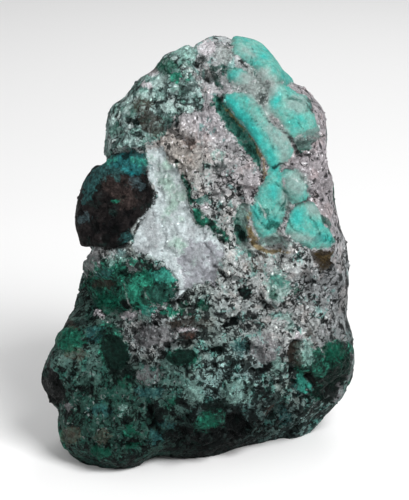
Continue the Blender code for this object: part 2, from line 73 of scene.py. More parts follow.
# Floor and light, in metres and watts
FLOOR_HALF = 3.0
FLOOR_ROUGHNESS = 0.9
SURROUND = 0.45
LIGHT_AIM = (0.0, 0.0, 0.045)
Lamp = namedtuple("Lamp", "name place size power")
LAMPS = [
    Lamp("key light", (0.22, -0.32, 0.42), 0.22, 3.7),
    Lamp("fill light", (-0.45, -0.35, 0.25), 0.40, 0.8),
    Lamp("back light", (0.10, 0.40, 0.40), 0.30, 0.8),
]

# The stone's shine, and its roughness from one small grain to another
SHEEN = 0.07
ROUGHNESS = (0.4, 0.85)
# The grains in the material: widths of the coarse and the small ones, how far noise bends their
# rows, and the depth of their relief
COARSE_GRAIN = 1.35
SMALL_GRAIN = 0.5
GRAIN_BEND = 1.1
GRAIN_RELIEF = 0.3
SEED_STEP = 10.0  # how far apart the seeds of the material's noise lie


def srgb(red, green, blue):
    """A colour given as 0 to 255, in the linear values that a shader takes."""
    parts = np.array([red, green, blue]) / 255.0
    linear = np.where(parts <= 0.04045, parts / 12.92, ((parts + 0.055) / 1.055) ** 2.4)
    return (*linear.tolist(), 1.0)


def grey(value):
    return (value, value, value, 1.0)


WHITE = grey(1.0)
FLOOR_PALE = grey(0.8)
# Matrix
PINK_GREY = srgb(166, 161, 165)
LIGHT_GREY = srgb(160, 164, 163)
DIM_GREY = srgb(108, 110, 112)
WARM_GREY = srgb(146, 138, 128)
MAUVE_GREY = srgb(146, 141, 144)
MID_GREY = srgb(148, 153, 154)
GREEN_GREY = srgb(122, 138, 134)
TEAL_GREY = srgb(126, 158, 156)
SLATE_TEAL = srgb(74, 102, 96)
DARK_TEAL = srgb(38, 68, 60)
NIGHT_TEAL = srgb(28, 50, 46)
NEAR_BLACK = srgb(12, 20, 19)
# near black of the crevices between grains; where it darkens the sunken pits it is painted shade
CREVICE = srgb(5, 8, 8)
# white of the quartz grains; in the matrix its specks are also painted glints
WHITE_GRAIN = srgb(222, 220, 224)
PIT_BLACK = srgb(7, 11, 11)
# Multiplied into the matrix where it is stained, and where it is warmer
TEAL_STAIN = srgb(198, 252, 245)
WARM_TINT = (1.07, 0.99, 0.97, 1.0)
# Mottled lumps
MOTTLE_DARK = srgb(28, 46, 43)
MOTTLE_MID = srgb(84, 106, 103)
MOTTLE_LIGHT = srgb(130, 152, 149)
MOTTLE_PALE = srgb(188, 202, 200)
# Boulder
BOULDER_BLACK = srgb(5, 5, 6)
BOULDER_BROWN = srgb(26, 23, 23)
BOULDER_GREY = srgb(52, 54, 54)
BOULDER_TEAL = srgb(16, 44, 40)
# Quartz
QUARTZ_WHITE = srgb(172, 182, 184)
QUARTZ_GREY = srgb(156, 166, 167)
QUARTZ_GREEN = srgb(138, 160, 151)
QUARTZ_LILAC = srgb(146, 152, 154)
# Malachite
MALACHITE_BLACK = srgb(15, 30, 27)
MALACHITE_DARK = srgb(32, 64, 55)
MALACHITE_GREEN = srgb(40, 106, 88)
MALACHITE_BRIGHT = srgb(62, 146, 124)
HOLLOW_DARK = srgb(24, 52, 46)
HOLLOW_GREEN = srgb(50, 106, 94)
HOLLOW_GREY = srgb(92, 112, 106)
# Chrysocolla
CHRYSO_DEEP = srgb(22, 96, 90)
CHRYSO_BRIGHT = srgb(58, 145, 137)
CHRYSO_GREEN = srgb(80, 146, 136)
CHRYSO_PALE = srgb(104, 151, 142)
CHRYSO_FROST = srgb(120, 138, 134)

# Stains, crusts, cracks and seams: the colour, how much the edge frays, and how fully it covers
MarkLook = namedtuple("MarkLook", "colour fray cover")
MARK_LOOKS = {
    "frost": MarkLook(CHRYSO_FROST, 0.5, 0.8),
    "core": MarkLook(srgb(42, 150, 143), 0.35, 0.85),
    "haze": MarkLook(srgb(134, 142, 140), 0.6, 0.7),
    # painted shade on the right-hand nodule's underside, over its own greyer colour
    "shaded_underside": MarkLook(srgb(98, 118, 114), 0.4, 0.85),
    # painted shade beside the nodules, and a malachite lump's own darker green
    "shade": MarkLook(srgb(32, 68, 60), 0.8, 0.85),
    "pale_teal": MarkLook(srgb(128, 164, 156), 1.2, 0.6),
    "grey": MarkLook(srgb(112, 112, 114), 1.3, 0.7),
    "pale": MarkLook(srgb(190, 186, 190), 0.7, 0.85),
    "tan": MarkLook(srgb(92, 84, 72), 1.2, 0.35),
    "brown": MarkLook(srgb(46, 41, 36), 1.0, 0.8),
    "red_brown": MarkLook(srgb(74, 52, 45), 0.8, 0.65),
    "dark": MarkLook(srgb(36, 48, 46), 1.0, 0.8),
    "deep_green": MarkLook(srgb(5, 17, 14), 0.8, 0.95),
    "boulder_brown": MarkLook(srgb(48, 40, 38), 1.2, 0.8),
    "deep_teal": MarkLook(srgb(12, 70, 62), 1.0, 0.8),
    "azure": MarkLook(srgb(14, 98, 104), 1.1, 0.75),
    "veil": MarkLook(srgb(66, 84, 88), 1.2, 0.6),
    "lens": MarkLook(srgb(8, 27, 22), 0.3, 0.95),
    "bright_green": MarkLook(srgb(42, 126, 104), 1.0, 0.8),
    "lilac": MarkLook(srgb(124, 124, 130), 1.0, 0.8),
    "pale_grey": MarkLook(srgb(150, 172, 168), 0.7, 0.85),
    "green": MarkLook(srgb(16, 74, 58), 1.0, 0.75),
    "teal": MarkLook(srgb(44, 92, 92), 1.1, 0.5),
    "turquoise": MarkLook(srgb(50, 128, 114), 0.9, 0.7),
    "black": MarkLook(PIT_BLACK, 0.8, 0.95),
    "rust": MarkLook(srgb(110, 94, 58), 0.5, 0.85),
    "dark_rust": MarkLook(srgb(38, 30, 18), 0.9, 0.85),
    "vein": MarkLook(srgb(186, 194, 192), 0.25, 0.7),
    "crack": MarkLook(srgb(9, 14, 14), 0.25, 0.9),
    "seam": MarkLook(srgb(18, 72, 64), 0.35, 0.8),
}
PATCHES = (0.33, 0.49)  # where in the noise the patches begin and are complete
# Marks with a whole face, which the patches don't break up, and those whose edge is soft
WHOLE_MARKS = ("rust", "lens", "vein", "crack", "seam", "core", "frost", "haze")
SOFT_MARKS = ("core", "frost", "haze")
CRISP_EDGE = 0.25  # half of an edge's width
SOFT_EDGE = 0.9

# The stone's outline on the front drawing, clockwise from the top: x, and v up from its lowest point
OUTLINE = [
    (3.2, 87.6), (8.2, 87.4), (12.3, 86.5), (14.4, 85.2), (16.2, 83.2), (17.2, 81.2), (18.5, 79.4),
    (20.2, 78.1), (22.3, 76.3), (24.3, 74.5), (25.9, 72.7), (26.5, 68.4), (26.1, 63.8), (26.5, 61.8),
    (27.6, 58.7), (27.5, 54.6), (28.7, 49.2), (29.9, 45.9), (30.4, 41.3), (30.3, 36.8), (29.9, 32.2),
    (30.7, 29.8), (31.5, 26.0), (31.6, 21.4), (30.7, 17.8), (27.6, 13.3), (25.1, 10.8), (22.9, 8.2),
    (20.3, 6.1), (14.4, 5.2), (7.2, 3.9), (2.6, 2.9), (-4.1, 2.8), (-6.4, 3.4), (-8.2, 2.8),
    (-10.4, 1.6), (-13.0, 0.3), (-16.6, 0.0), (-21.4, 1.2), (-24.7, 3.0), (-27.0, 5.3), (-28.2, 7.8),
    (-28.0, 11.6), (-28.6, 13.4), (-30.6, 16.2), (-31.4, 19.4), (-30.6, 22.2), (-29.2, 25.3),
    (-28.0, 28.1), (-26.0, 30.9), (-24.5, 33.7), (-23.5, 37.3), (-22.8, 41.1), (-22.2, 44.8),
    (-23.5, 47.0), (-24.6, 48.8), (-24.7, 50.8), (-24.0, 54.9), (-23.2, 57.7), (-21.2, 60.5),
    (-19.1, 62.8), (-18.3, 66.4), (-18.7, 69.4), (-18.6, 72.2), (-17.1, 73.5), (-13.6, 76.3),
    (-12.5, 78.6), (-10.4, 80.1), (-8.3, 80.9), (-7.9, 82.9), (-6.4, 84.5), (-3.8, 84.9), (-1.0, 85.8),
]
OUTLINE_MIDDLE = (0.6, 36.0)
SECTORS = 180  # parts of the turn in which the edge is measured against the outline
WHOLE_SOFTEN = 7.0  # sectors over which the whole stone's change is softened
RIM_SOFTEN = 1.3  # the same for the rim's change, and how many times the rim is drawn
RIM_ROUNDS = 3
RIM = 0.72  # share of the way out where drawing the rim alone begins
RIM_DEPTH = 8.0  # how far before and behind the edge the rim is drawn with it
DEPTH_SOFTEN = 4.0  # how much more the edge's depth is softened than the change
# The stone's edge is worn smooth: where that begins and is complete, as shares of the way out to
# the outline, and the share of the broken relief that it takes away
WORN_FROM = 0.84
WORN_TO = 0.97
WORN_SHARE = 0.85

INSIDE = (1.0, 0.5, 36.0)  # where the directions start from
# The masses of the stone: centre and half sizes
MASSES = [
    ((1, 0, 14), (28, 20, 25)),  # foot
    ((4, 1, 40), (24, 18, 28)),  # waist
    ((3, 1, 60), (20, 16, 22)),  # head
    ((-14, -6, 50), (9, 11, 12)),  # dark boulder on the left
    ((-8, -1, 65), (10, 11, 10)),  # left shoulder
    ((-1, 2, 73), (9, 11, 9)),  # left of the crown
    ((8, 0, 71), (10, 13, 12)),  # right of the crown
    ((16, -3, 62), (9, 11, 11)),  # right shoulder
    ((19, -1, 42), (10, 14, 14)),  # right side
    ((20, -1, 20), (10, 13, 13)),  # lower right lobe
    ((-21, -4, 18), (9, 12, 11)),  # lower left lobe
    ((-15, -10, 8), (13, 11, 11)),  # foot that stands forward
    ((-9, 12, 26), (15, 11, 17)),  # lower back on the left
    ((11, 11, 44), (12, 10, 17)),  # upper back on the right
    ((14, 11, 12), (13, 11, 14)),  # back foot
    ((-5, 10, 58), (11, 9, 12)),  # upper back on the left
]
MASS_BLEND = 1.5  # how softly they melt together

# The broken flats: the way each one faces, and how far it lies from the point inside
FLATS = [
    ((0.15, 1.0, 0.25), 20.5), ((-0.55, 0.8, -0.1), 20.5), ((0.8, 0.6, 0.1), 24.5),
    ((-0.35, 0.75, 0.6), 26.0), ((1.0, -0.35, 0.0), 28.5), ((-0.2, -1.0, 0.35), 20.5),
    ((0.35, -0.95, 0.1), 20.5), ((-0.75, -0.35, 0.65), 31.0), ((0.75, 0.35, 0.75), 39.0),
    ((-0.9, 0.4, 0.1), 25.0), ((-0.1, 0.4, 1.0), 45.0), ((0.62, -0.78, -0.45), 27.5),
]
FLAT_BLEND = 0.9  # how softly the flats' edges are rounded
DEEPEST = 40.0  # depths past this count as this much when masses and flats are joined
# The surface is found by stepping in from this far out, each step a share of what is left
MARCH_FROM = 62.0
MARCH_STEPS = 26
MARCH_SHARE = 0.85

# Cells along each side of the noise's lattice and of the broken blocks', before they repeat
NOISE_CELLS = 24
BLOCK_CELLS = 20
BLOCK_LIMIT = 2.0  # the most that a leaning block stands out, against what a level one does
# Swells of the whole surface: width, height and seed of each
SWELLS = [(12.0, 1.2, 3), (6.0, 0.65, 4), (3.0, 0.32, 5)]
# Broken blocks of the matrix: width, how far they stand out, how far they lean, and seed
BLOCKS = [(9.0, 0.8, 0.16, 11), (4.2, 0.3, 0.16, 12)]
# The grains, which only show close up: blocks and swells of the same kinds
GRAIN_BLOCKS = [(2.1, 0.16, 0.14, 13), (1.1, 0.11, 0.16, 14)]
GRAIN_SWELLS = [(1.5, 0.12, 15), (0.9, 0.08, 16)]
# The pits: width and seed of their noise, where in it they begin with no specks and with all of
# them, how far on they are at their full depth, and that depth
Pits = namedtuple("Pits", "width seed begin_few begin_many fade depth")
PITS = Pits(1.9, 17, 0.80, 0.40, 0.2, 0.5)
# The loose-looking crystals that stand on the surface, in joined pieces of so many
CRYSTAL_PIECES = 2
CRYSTALS = 8500
CRYSTAL_SEED = 40  # each piece's own number is added
CRYSTAL_SIZE = (0.29, 0.28)  # the middle half size, and how much sizes vary
CRYSTAL_CORNERS = (0.75, 1.2)  # how near and how far its corners lie, in half sizes
CRYSTAL_LENGTHS = (0.7, 1.4)  # how short and how long it is each way
CRYSTAL_SINK = 0.6  # how deep each one sits, as a share of its size
CRYSTAL_TONES = 0.42  # how much their brightness varies, in stops
CRYSTAL_TONE_LIMIT = 2.0
# How many stand on each kind of lump, against the matrix
CRYSTAL_SHARES = {
    "mottled": 1.0, "boulder": 0.5, "quartz": 0.35, "malachite": 0.5, "hollow": 0.3, "black": 0.3,
    "chrysocolla": 0.04}

# Shapes on a side's drawing
Oval = namedtuple("Oval", "x v half_x half_v tilt", defaults=[0])
Area = namedtuple("Area", "points")
Band = namedtuple("Band", "points")  # x, v and half width at each point
# A lump seen on its side's drawing. It ends at the depth `back`, measured towards that side's eye.
Lump = namedtuple("Lump", "side kind back shape")
# A lump around a point of the surface: turn from the front and height as angles, its radius, and
# how its long way leans
Ball = namedtuple("Ball", "kind turn climb radius lean")

# How each kind of lump stands: rise above the matrix, width of its rounded edge, groove round it,
# and the shares of the broken blocks and of the grains that show through it
Relief = namedtuple("Relief", "rise edge groove broken grain")
RELIEF = {
    "boulder": Relief(1.6, 2.6, 0.9, 0.4, 0.6),
    "mottled": Relief(0.7, 0.9, 0.4, 0.7, 1.0),
    "quartz": Relief(-0.6, 1.0, 0.2, 0.6, 0.9),
    "chrysocolla": Relief(0.9, 2.2, 0.15, 0.4, 0.5),
    "malachite": Relief(0.6, 1.4, 0.2, 0.6, 0.7),
    "hollow": Relief(-1.7, 1.0, 0.0, 0.5, 0.6),
    "black": Relief(-0.8, 0.8, 0.15, 0.5, 0.8),
}
GROOVE_WIDTH = 0.6
EDGE_SOFT = 0.3  # half of the width over which a lump takes over from the matrix
# Waves in the lumps' edges: the fine ones are on all sides, the coarse ones not in front
Wander = namedtuple("Wander", "fine coarse")
WANDER = Wander((2.4, 0.4, 6), (5.5, 1.5, 7))  # width, height and seed of each
BALL_LENGTH = 1.5  # a ball's length against its width
FRONT_BACK = -8.0  # depth at which the front's lumps end
CROWN_BACK = -5.0  # the same for those at the very top
LUMP_END = 9.0  # radius with which a lump is rounded off at that depth
END_WANDER = 3.0  # how much more the coarse waves move a lump's end than its edge

LUMPS = [
    # Mottled lump at the top left and dark boulder below it
    Lump("front", "mottled", FRONT_BACK, Area([
        (-22, 66), (-22, 77), (-12, 88), (-1.4, 89), (-0.2, 79.6), (1.6, 74.6), (0.6, 72.6),
        (-3.4, 71.6), (-5.8, 68.2), (-10.4, 64.8), (-18.4, 64.6)])),
    Lump("front", "boulder", FRONT_BACK, Area([
        (-19.2, 62.8), (-16.4, 64.6), (-10.8, 64.2), (-9.4, 60.6), (-8.0, 55.6), (-10.4, 51.2),
        (-13.2, 46.6), (-14.8, 44.6), (-21.4, 45.2), (-28, 47), (-28, 58)])),
    # Quartz patch and the green vein along its right
    Lump("front", "quartz", FRONT_BACK, Area([
        (-10.0, 64.8), (-6.9, 64.8), (-4.6, 61.3), (-1.8, 57.4), (-1.0, 54.9), (-0.2, 50.0),
        (2.1, 49.5), (5.4, 45.4), (5.6, 43.4), (4.4, 41.1), (3.6, 38.0), (-0.2, 38.0), (-3.3, 35.0),
        (-5.1, 34.2), (-3.7, 37.3), (-6.1, 40.3), (-6.6, 42.4), (-11.7, 43.4), (-13.2, 44.7),
        (-13.2, 46.9), (-10.4, 51.3), (-8.5, 53.8), (-8.1, 55.9), (-9.4, 59.7), (-10.4, 63.6)])),
    Lump("front", "malachite", FRONT_BACK, Band([
        (-2.8, 59.2, 0.5), (-1.4, 56.6, 0.7), (-0.8, 53.6, 0.5), (0.6, 50.2, 0.8), (2.3, 50.3, 0.6),
        (4.9, 47.7, 0.7), (6.4, 45.9, 0.5)])),
    # Blue-green nodules on the right, with the hollows beside them
    Lump("front", "hollow", FRONT_BACK, Band([
        (3.2, 76.0, 0.6), (4.6, 73.4, 1.2), (6.3, 70.6, 1.5), (8.6, 67.6, 1.5), (10.6, 64.8, 1.2),
        (12.2, 62.2, 0.8), (12.9, 60.2, 0.4)])),
    Lump("front", "hollow", FRONT_BACK, Band([
        (9.6, 53.6, 0.6), (8.4, 50.2, 1.1), (9.0, 46.9, 1.1), (10.8, 43.8, 0.7)])),
    Lump("front", "hollow", FRONT_BACK, Area([(19.0, 66.6), (24.2, 66.6), (22.8, 64.2), (20.6, 63.6)])),
    Lump("front", "chrysocolla", CROWN_BACK, Area([
        (6.8, 86.2), (8.0, 91), (14, 92), (22, 86), (22, 80), (18.6, 78.8), (17.0, 78.4),
        (13.0, 78.8), (11.6, 81.2), (9.4, 83.2), (7.0, 84.6)])),
    Lump("front", "chrysocolla", FRONT_BACK, Oval(8.5, 79.6, 2.9, 1.9, -20)),
    Lump("front", "chrysocolla", FRONT_BACK, Area([
        (4.6, 75.8), (7.6, 76.2), (10.6, 76.0), (11.6, 74.8), (13.0, 73.2), (14.1, 71.6), (15.5, 69.8),
        (17.2, 68.4), (18.4, 66.2), (19.2, 64.2), (18.2, 62.8), (16.4, 61.0), (17.2, 58.0), (18.2, 54.6),
        (17.6, 52.0), (15.8, 48.4), (14.4, 47.0), (12.9, 46.8), (11.8, 48.2), (10.9, 50.4), (10.4, 53.2),
        (12.0, 55.2), (12.4, 57.4), (13.8, 60.0), (13.9, 61.8), (12.9, 64.2), (11.0, 67.2), (8.6, 70.2),
        (6.6, 73.0)])),
    Lump("front", "chrysocolla", FRONT_BACK, Area([
        (16.8, 61.0), (19.4, 61.6), (20.4, 59.6), (21.8, 58.0), (22.4, 56.2), (21.4, 54.8), (18.8, 54.0),
        (17.4, 55.6), (16.8, 58.4)])),
    Lump("front", "chrysocolla", FRONT_BACK, Area([
        (14.8, 77.6), (17.1, 78.6), (18.9, 77.6), (20.4, 76.6), (22.0, 75.8), (22.8, 74.0), (22.6, 72.0),
        (23.8, 70.2), (24.4, 68.6), (23.6, 67.6), (21.6, 67.2), (19.6, 66.8), (18.0, 67.7), (16.9, 69.4),
        (15.3, 71.0), (14.1, 72.2), (14.6, 75.0)])),
    Lump("front", "chrysocolla", FRONT_BACK, Area([
        (17.5, 50.4), (18.2, 52.6), (19.8, 53.8), (21.6, 54.4), (23.4, 54.0), (24.8, 51.4), (25.6, 49.2),
        (27.0, 48.0), (28.0, 46.4), (26.2, 45.2), (24.0, 44.8), (21.4, 45.6), (19.2, 46.8), (17.5, 48.4)])),
    # Dark green and black lumps of the lower half
    Lump("front", "malachite", FRONT_BACK, Area([
        (-21.2, 43.5), (-15.0, 42.5), (-10.0, 42.0), (-6.5, 40.5), (-3.7, 37.3), (-7.9, 33.4),
        (-15.0, 32.2), (-19.6, 34.2), (-22.5, 37.5)])),
    Lump("front", "malachite", FRONT_BACK, Oval(-6.8, 37.2, 2.5, 3.3, 10)),
    Lump("front", "mottled", FRONT_BACK, Oval(-15.5, 43.3, 1.4, 1.3)),
    Lump("front", "malachite", FRONT_BACK, Oval(-26.0, 26.5, 3.4, 2.4)),
    Lump("front", "malachite", FRONT_BACK, Oval(-16.8, 25.4, 3.0, 4.2, 15)),
    Lump("front", "malachite", FRONT_BACK, Oval(-3.2, 23.0, 3.3, 1.7, -5)),
    Lump("front", "malachite", FRONT_BACK, Area([
        (27.1, 26.2), (32, 26.6), (33, 22), (31, 17), (27.9, 14.6), (25.4, 13.8), (22.9, 13.8),
        (22.6, 16.6), (23.7, 22.0), (26.2, 22.8)])),
    Lump("front", "black", FRONT_BACK, Oval(-29.5, 17.0, 2.8, 3.6)),
    Lump("front", "black", FRONT_BACK, Oval(9.6, 36.0, 1.8, 0.9, -30)),
    Lump("front", "black", FRONT_BACK, Oval(6.6, 30.0, 2.0, 0.8, 25)),
    Lump("front", "black", FRONT_BACK, Oval(3.6, 24.6, 1.6, 0.9, -10)),
    Lump("front", "black", FRONT_BACK, Oval(14.6, 21.2, 1.9, 0.9, 35)),
    Lump("front", "black", FRONT_BACK, Oval(19.6, 24.2, 1.6, 2.8)),
    Lump("front", "malachite", FRONT_BACK, Oval(2.6, 10.8, 3.4, 2.0, 10)),
    Lump("front", "black", FRONT_BACK, Oval(8.4, 10.0, 2.6, 1.4, -15)),
    # The back: a boulder, a run of nodules, a pale vein and a broken step
    Lump("back", "boulder", 4.0, Area([
        (2, 44), (9, 47), (15, 43), (17, 35), (13, 27), (6, 25), (0, 30), (-2, 38)])),
    Lump("back", "quartz", 4.0, Band([
        (-20, 20, 1.4), (-12, 27, 2.2), (-5, 37, 2.8), (-2, 49, 3.2), (3, 57, 2.4), (6, 66, 1.4)])),
    Lump("back", "chrysocolla", 3.0, Oval(-11.5, 55.0, 4.4, 3.2, 30)),
    Lump("back", "chrysocolla", 3.0, Oval(-15.5, 48.0, 2.8, 3.4, -10)),
    Lump("back", "chrysocolla", 3.0, Band([(-10, 64, 2.2), (-5, 69, 2.0), (1, 71, 1.5)])),
    Lump("back", "malachite", 3.0, Oval(13.0, 58.0, 4.2, 3.0, -35)),
    Lump("back", "malachite", 3.0, Area([(-16, 8), (-8, 12), (-3, 8), (-6, 3), (-15, 3)])),
    Lump("back", "hollow", 3.0, Band([(18, 22, 0.9), (12, 18, 1.1), (5, 17, 0.8), (0, 13, 0.9)])),
    Lump("back", "malachite", 3.0, Oval(20.5, 12.0, 3.4, 4.4)),
    # The right side
    Lump("right", "malachite", 14.0, Area([(1, 54), (8, 56), (12, 49), (9, 42), (3, 43)])),
    Lump("right", "chrysocolla", 14.0, Oval(3.5, 64.0, 3.6, 2.6, 20)),
    Lump("right", "black", 14.0, Oval(8.0, 33.0, 3.4, 1.4, 40)),
    Lump("right", "malachite", 14.0, Oval(5.5, 14.0, 5.0, 3.4, -10)),
    # The left side
    Lump("left", "malachite", 12.0, Area([(-12, 36), (-5, 39), (-2, 33), (-6, 27), (-13, 29)])),
    Lump("left", "chrysocolla", 12.0, Oval(-8.0, 48.0, 2.6, 3.6, 10)),
    Lump("left", "mottled", 12.0, Oval(-9.0, 14.0, 5.0, 4.0, 20)),
]
BALLS = [
    Ball("malachite", 150, 58, 3.2, 20),
    Ball("chrysocolla", 202, 64, 2.6, -30),
    Ball("malachite", 100, 48, 2.8, 10),
    Ball("malachite", 130, -18, 3.0, -25),
    Ball("black", 165, -30, 2.4, 15),
    Ball("malachite", 215, -12, 3.0, 35),
    Ball("black", 240, 20, 2.2, -15),
    Ball("malachite", 262, -38, 3.0, 10),
    Ball("chrysocolla", 190, -36, 1.9, 20),
    Ball("black", 80, -40, 2.2, -10),
    Ball("malachite", 228, 44, 2.8, -20),
    Ball("malachite", 290, -46, 2.4, 0),
    Ball("mottled", 175, 38, 3.4, 30),
    Ball("mottled", 120, 8, 3.6, -35),
    Ball("mottled", 245, -16, 3.8, 25),
    Ball("malachite", 60, -30, 2.4, 15),
    Ball("black", 205, 22, 1.9, 40),
    Ball("boulder", 105, -34, 4.2, 10),
    Ball("quartz", 235, 58, 2.6, -20),
    Ball("quartz", 140, 30, 2.4, 45),
]
FAR_OUTSIDE = 9.0  # distances from a lump or a mark count as this much at most

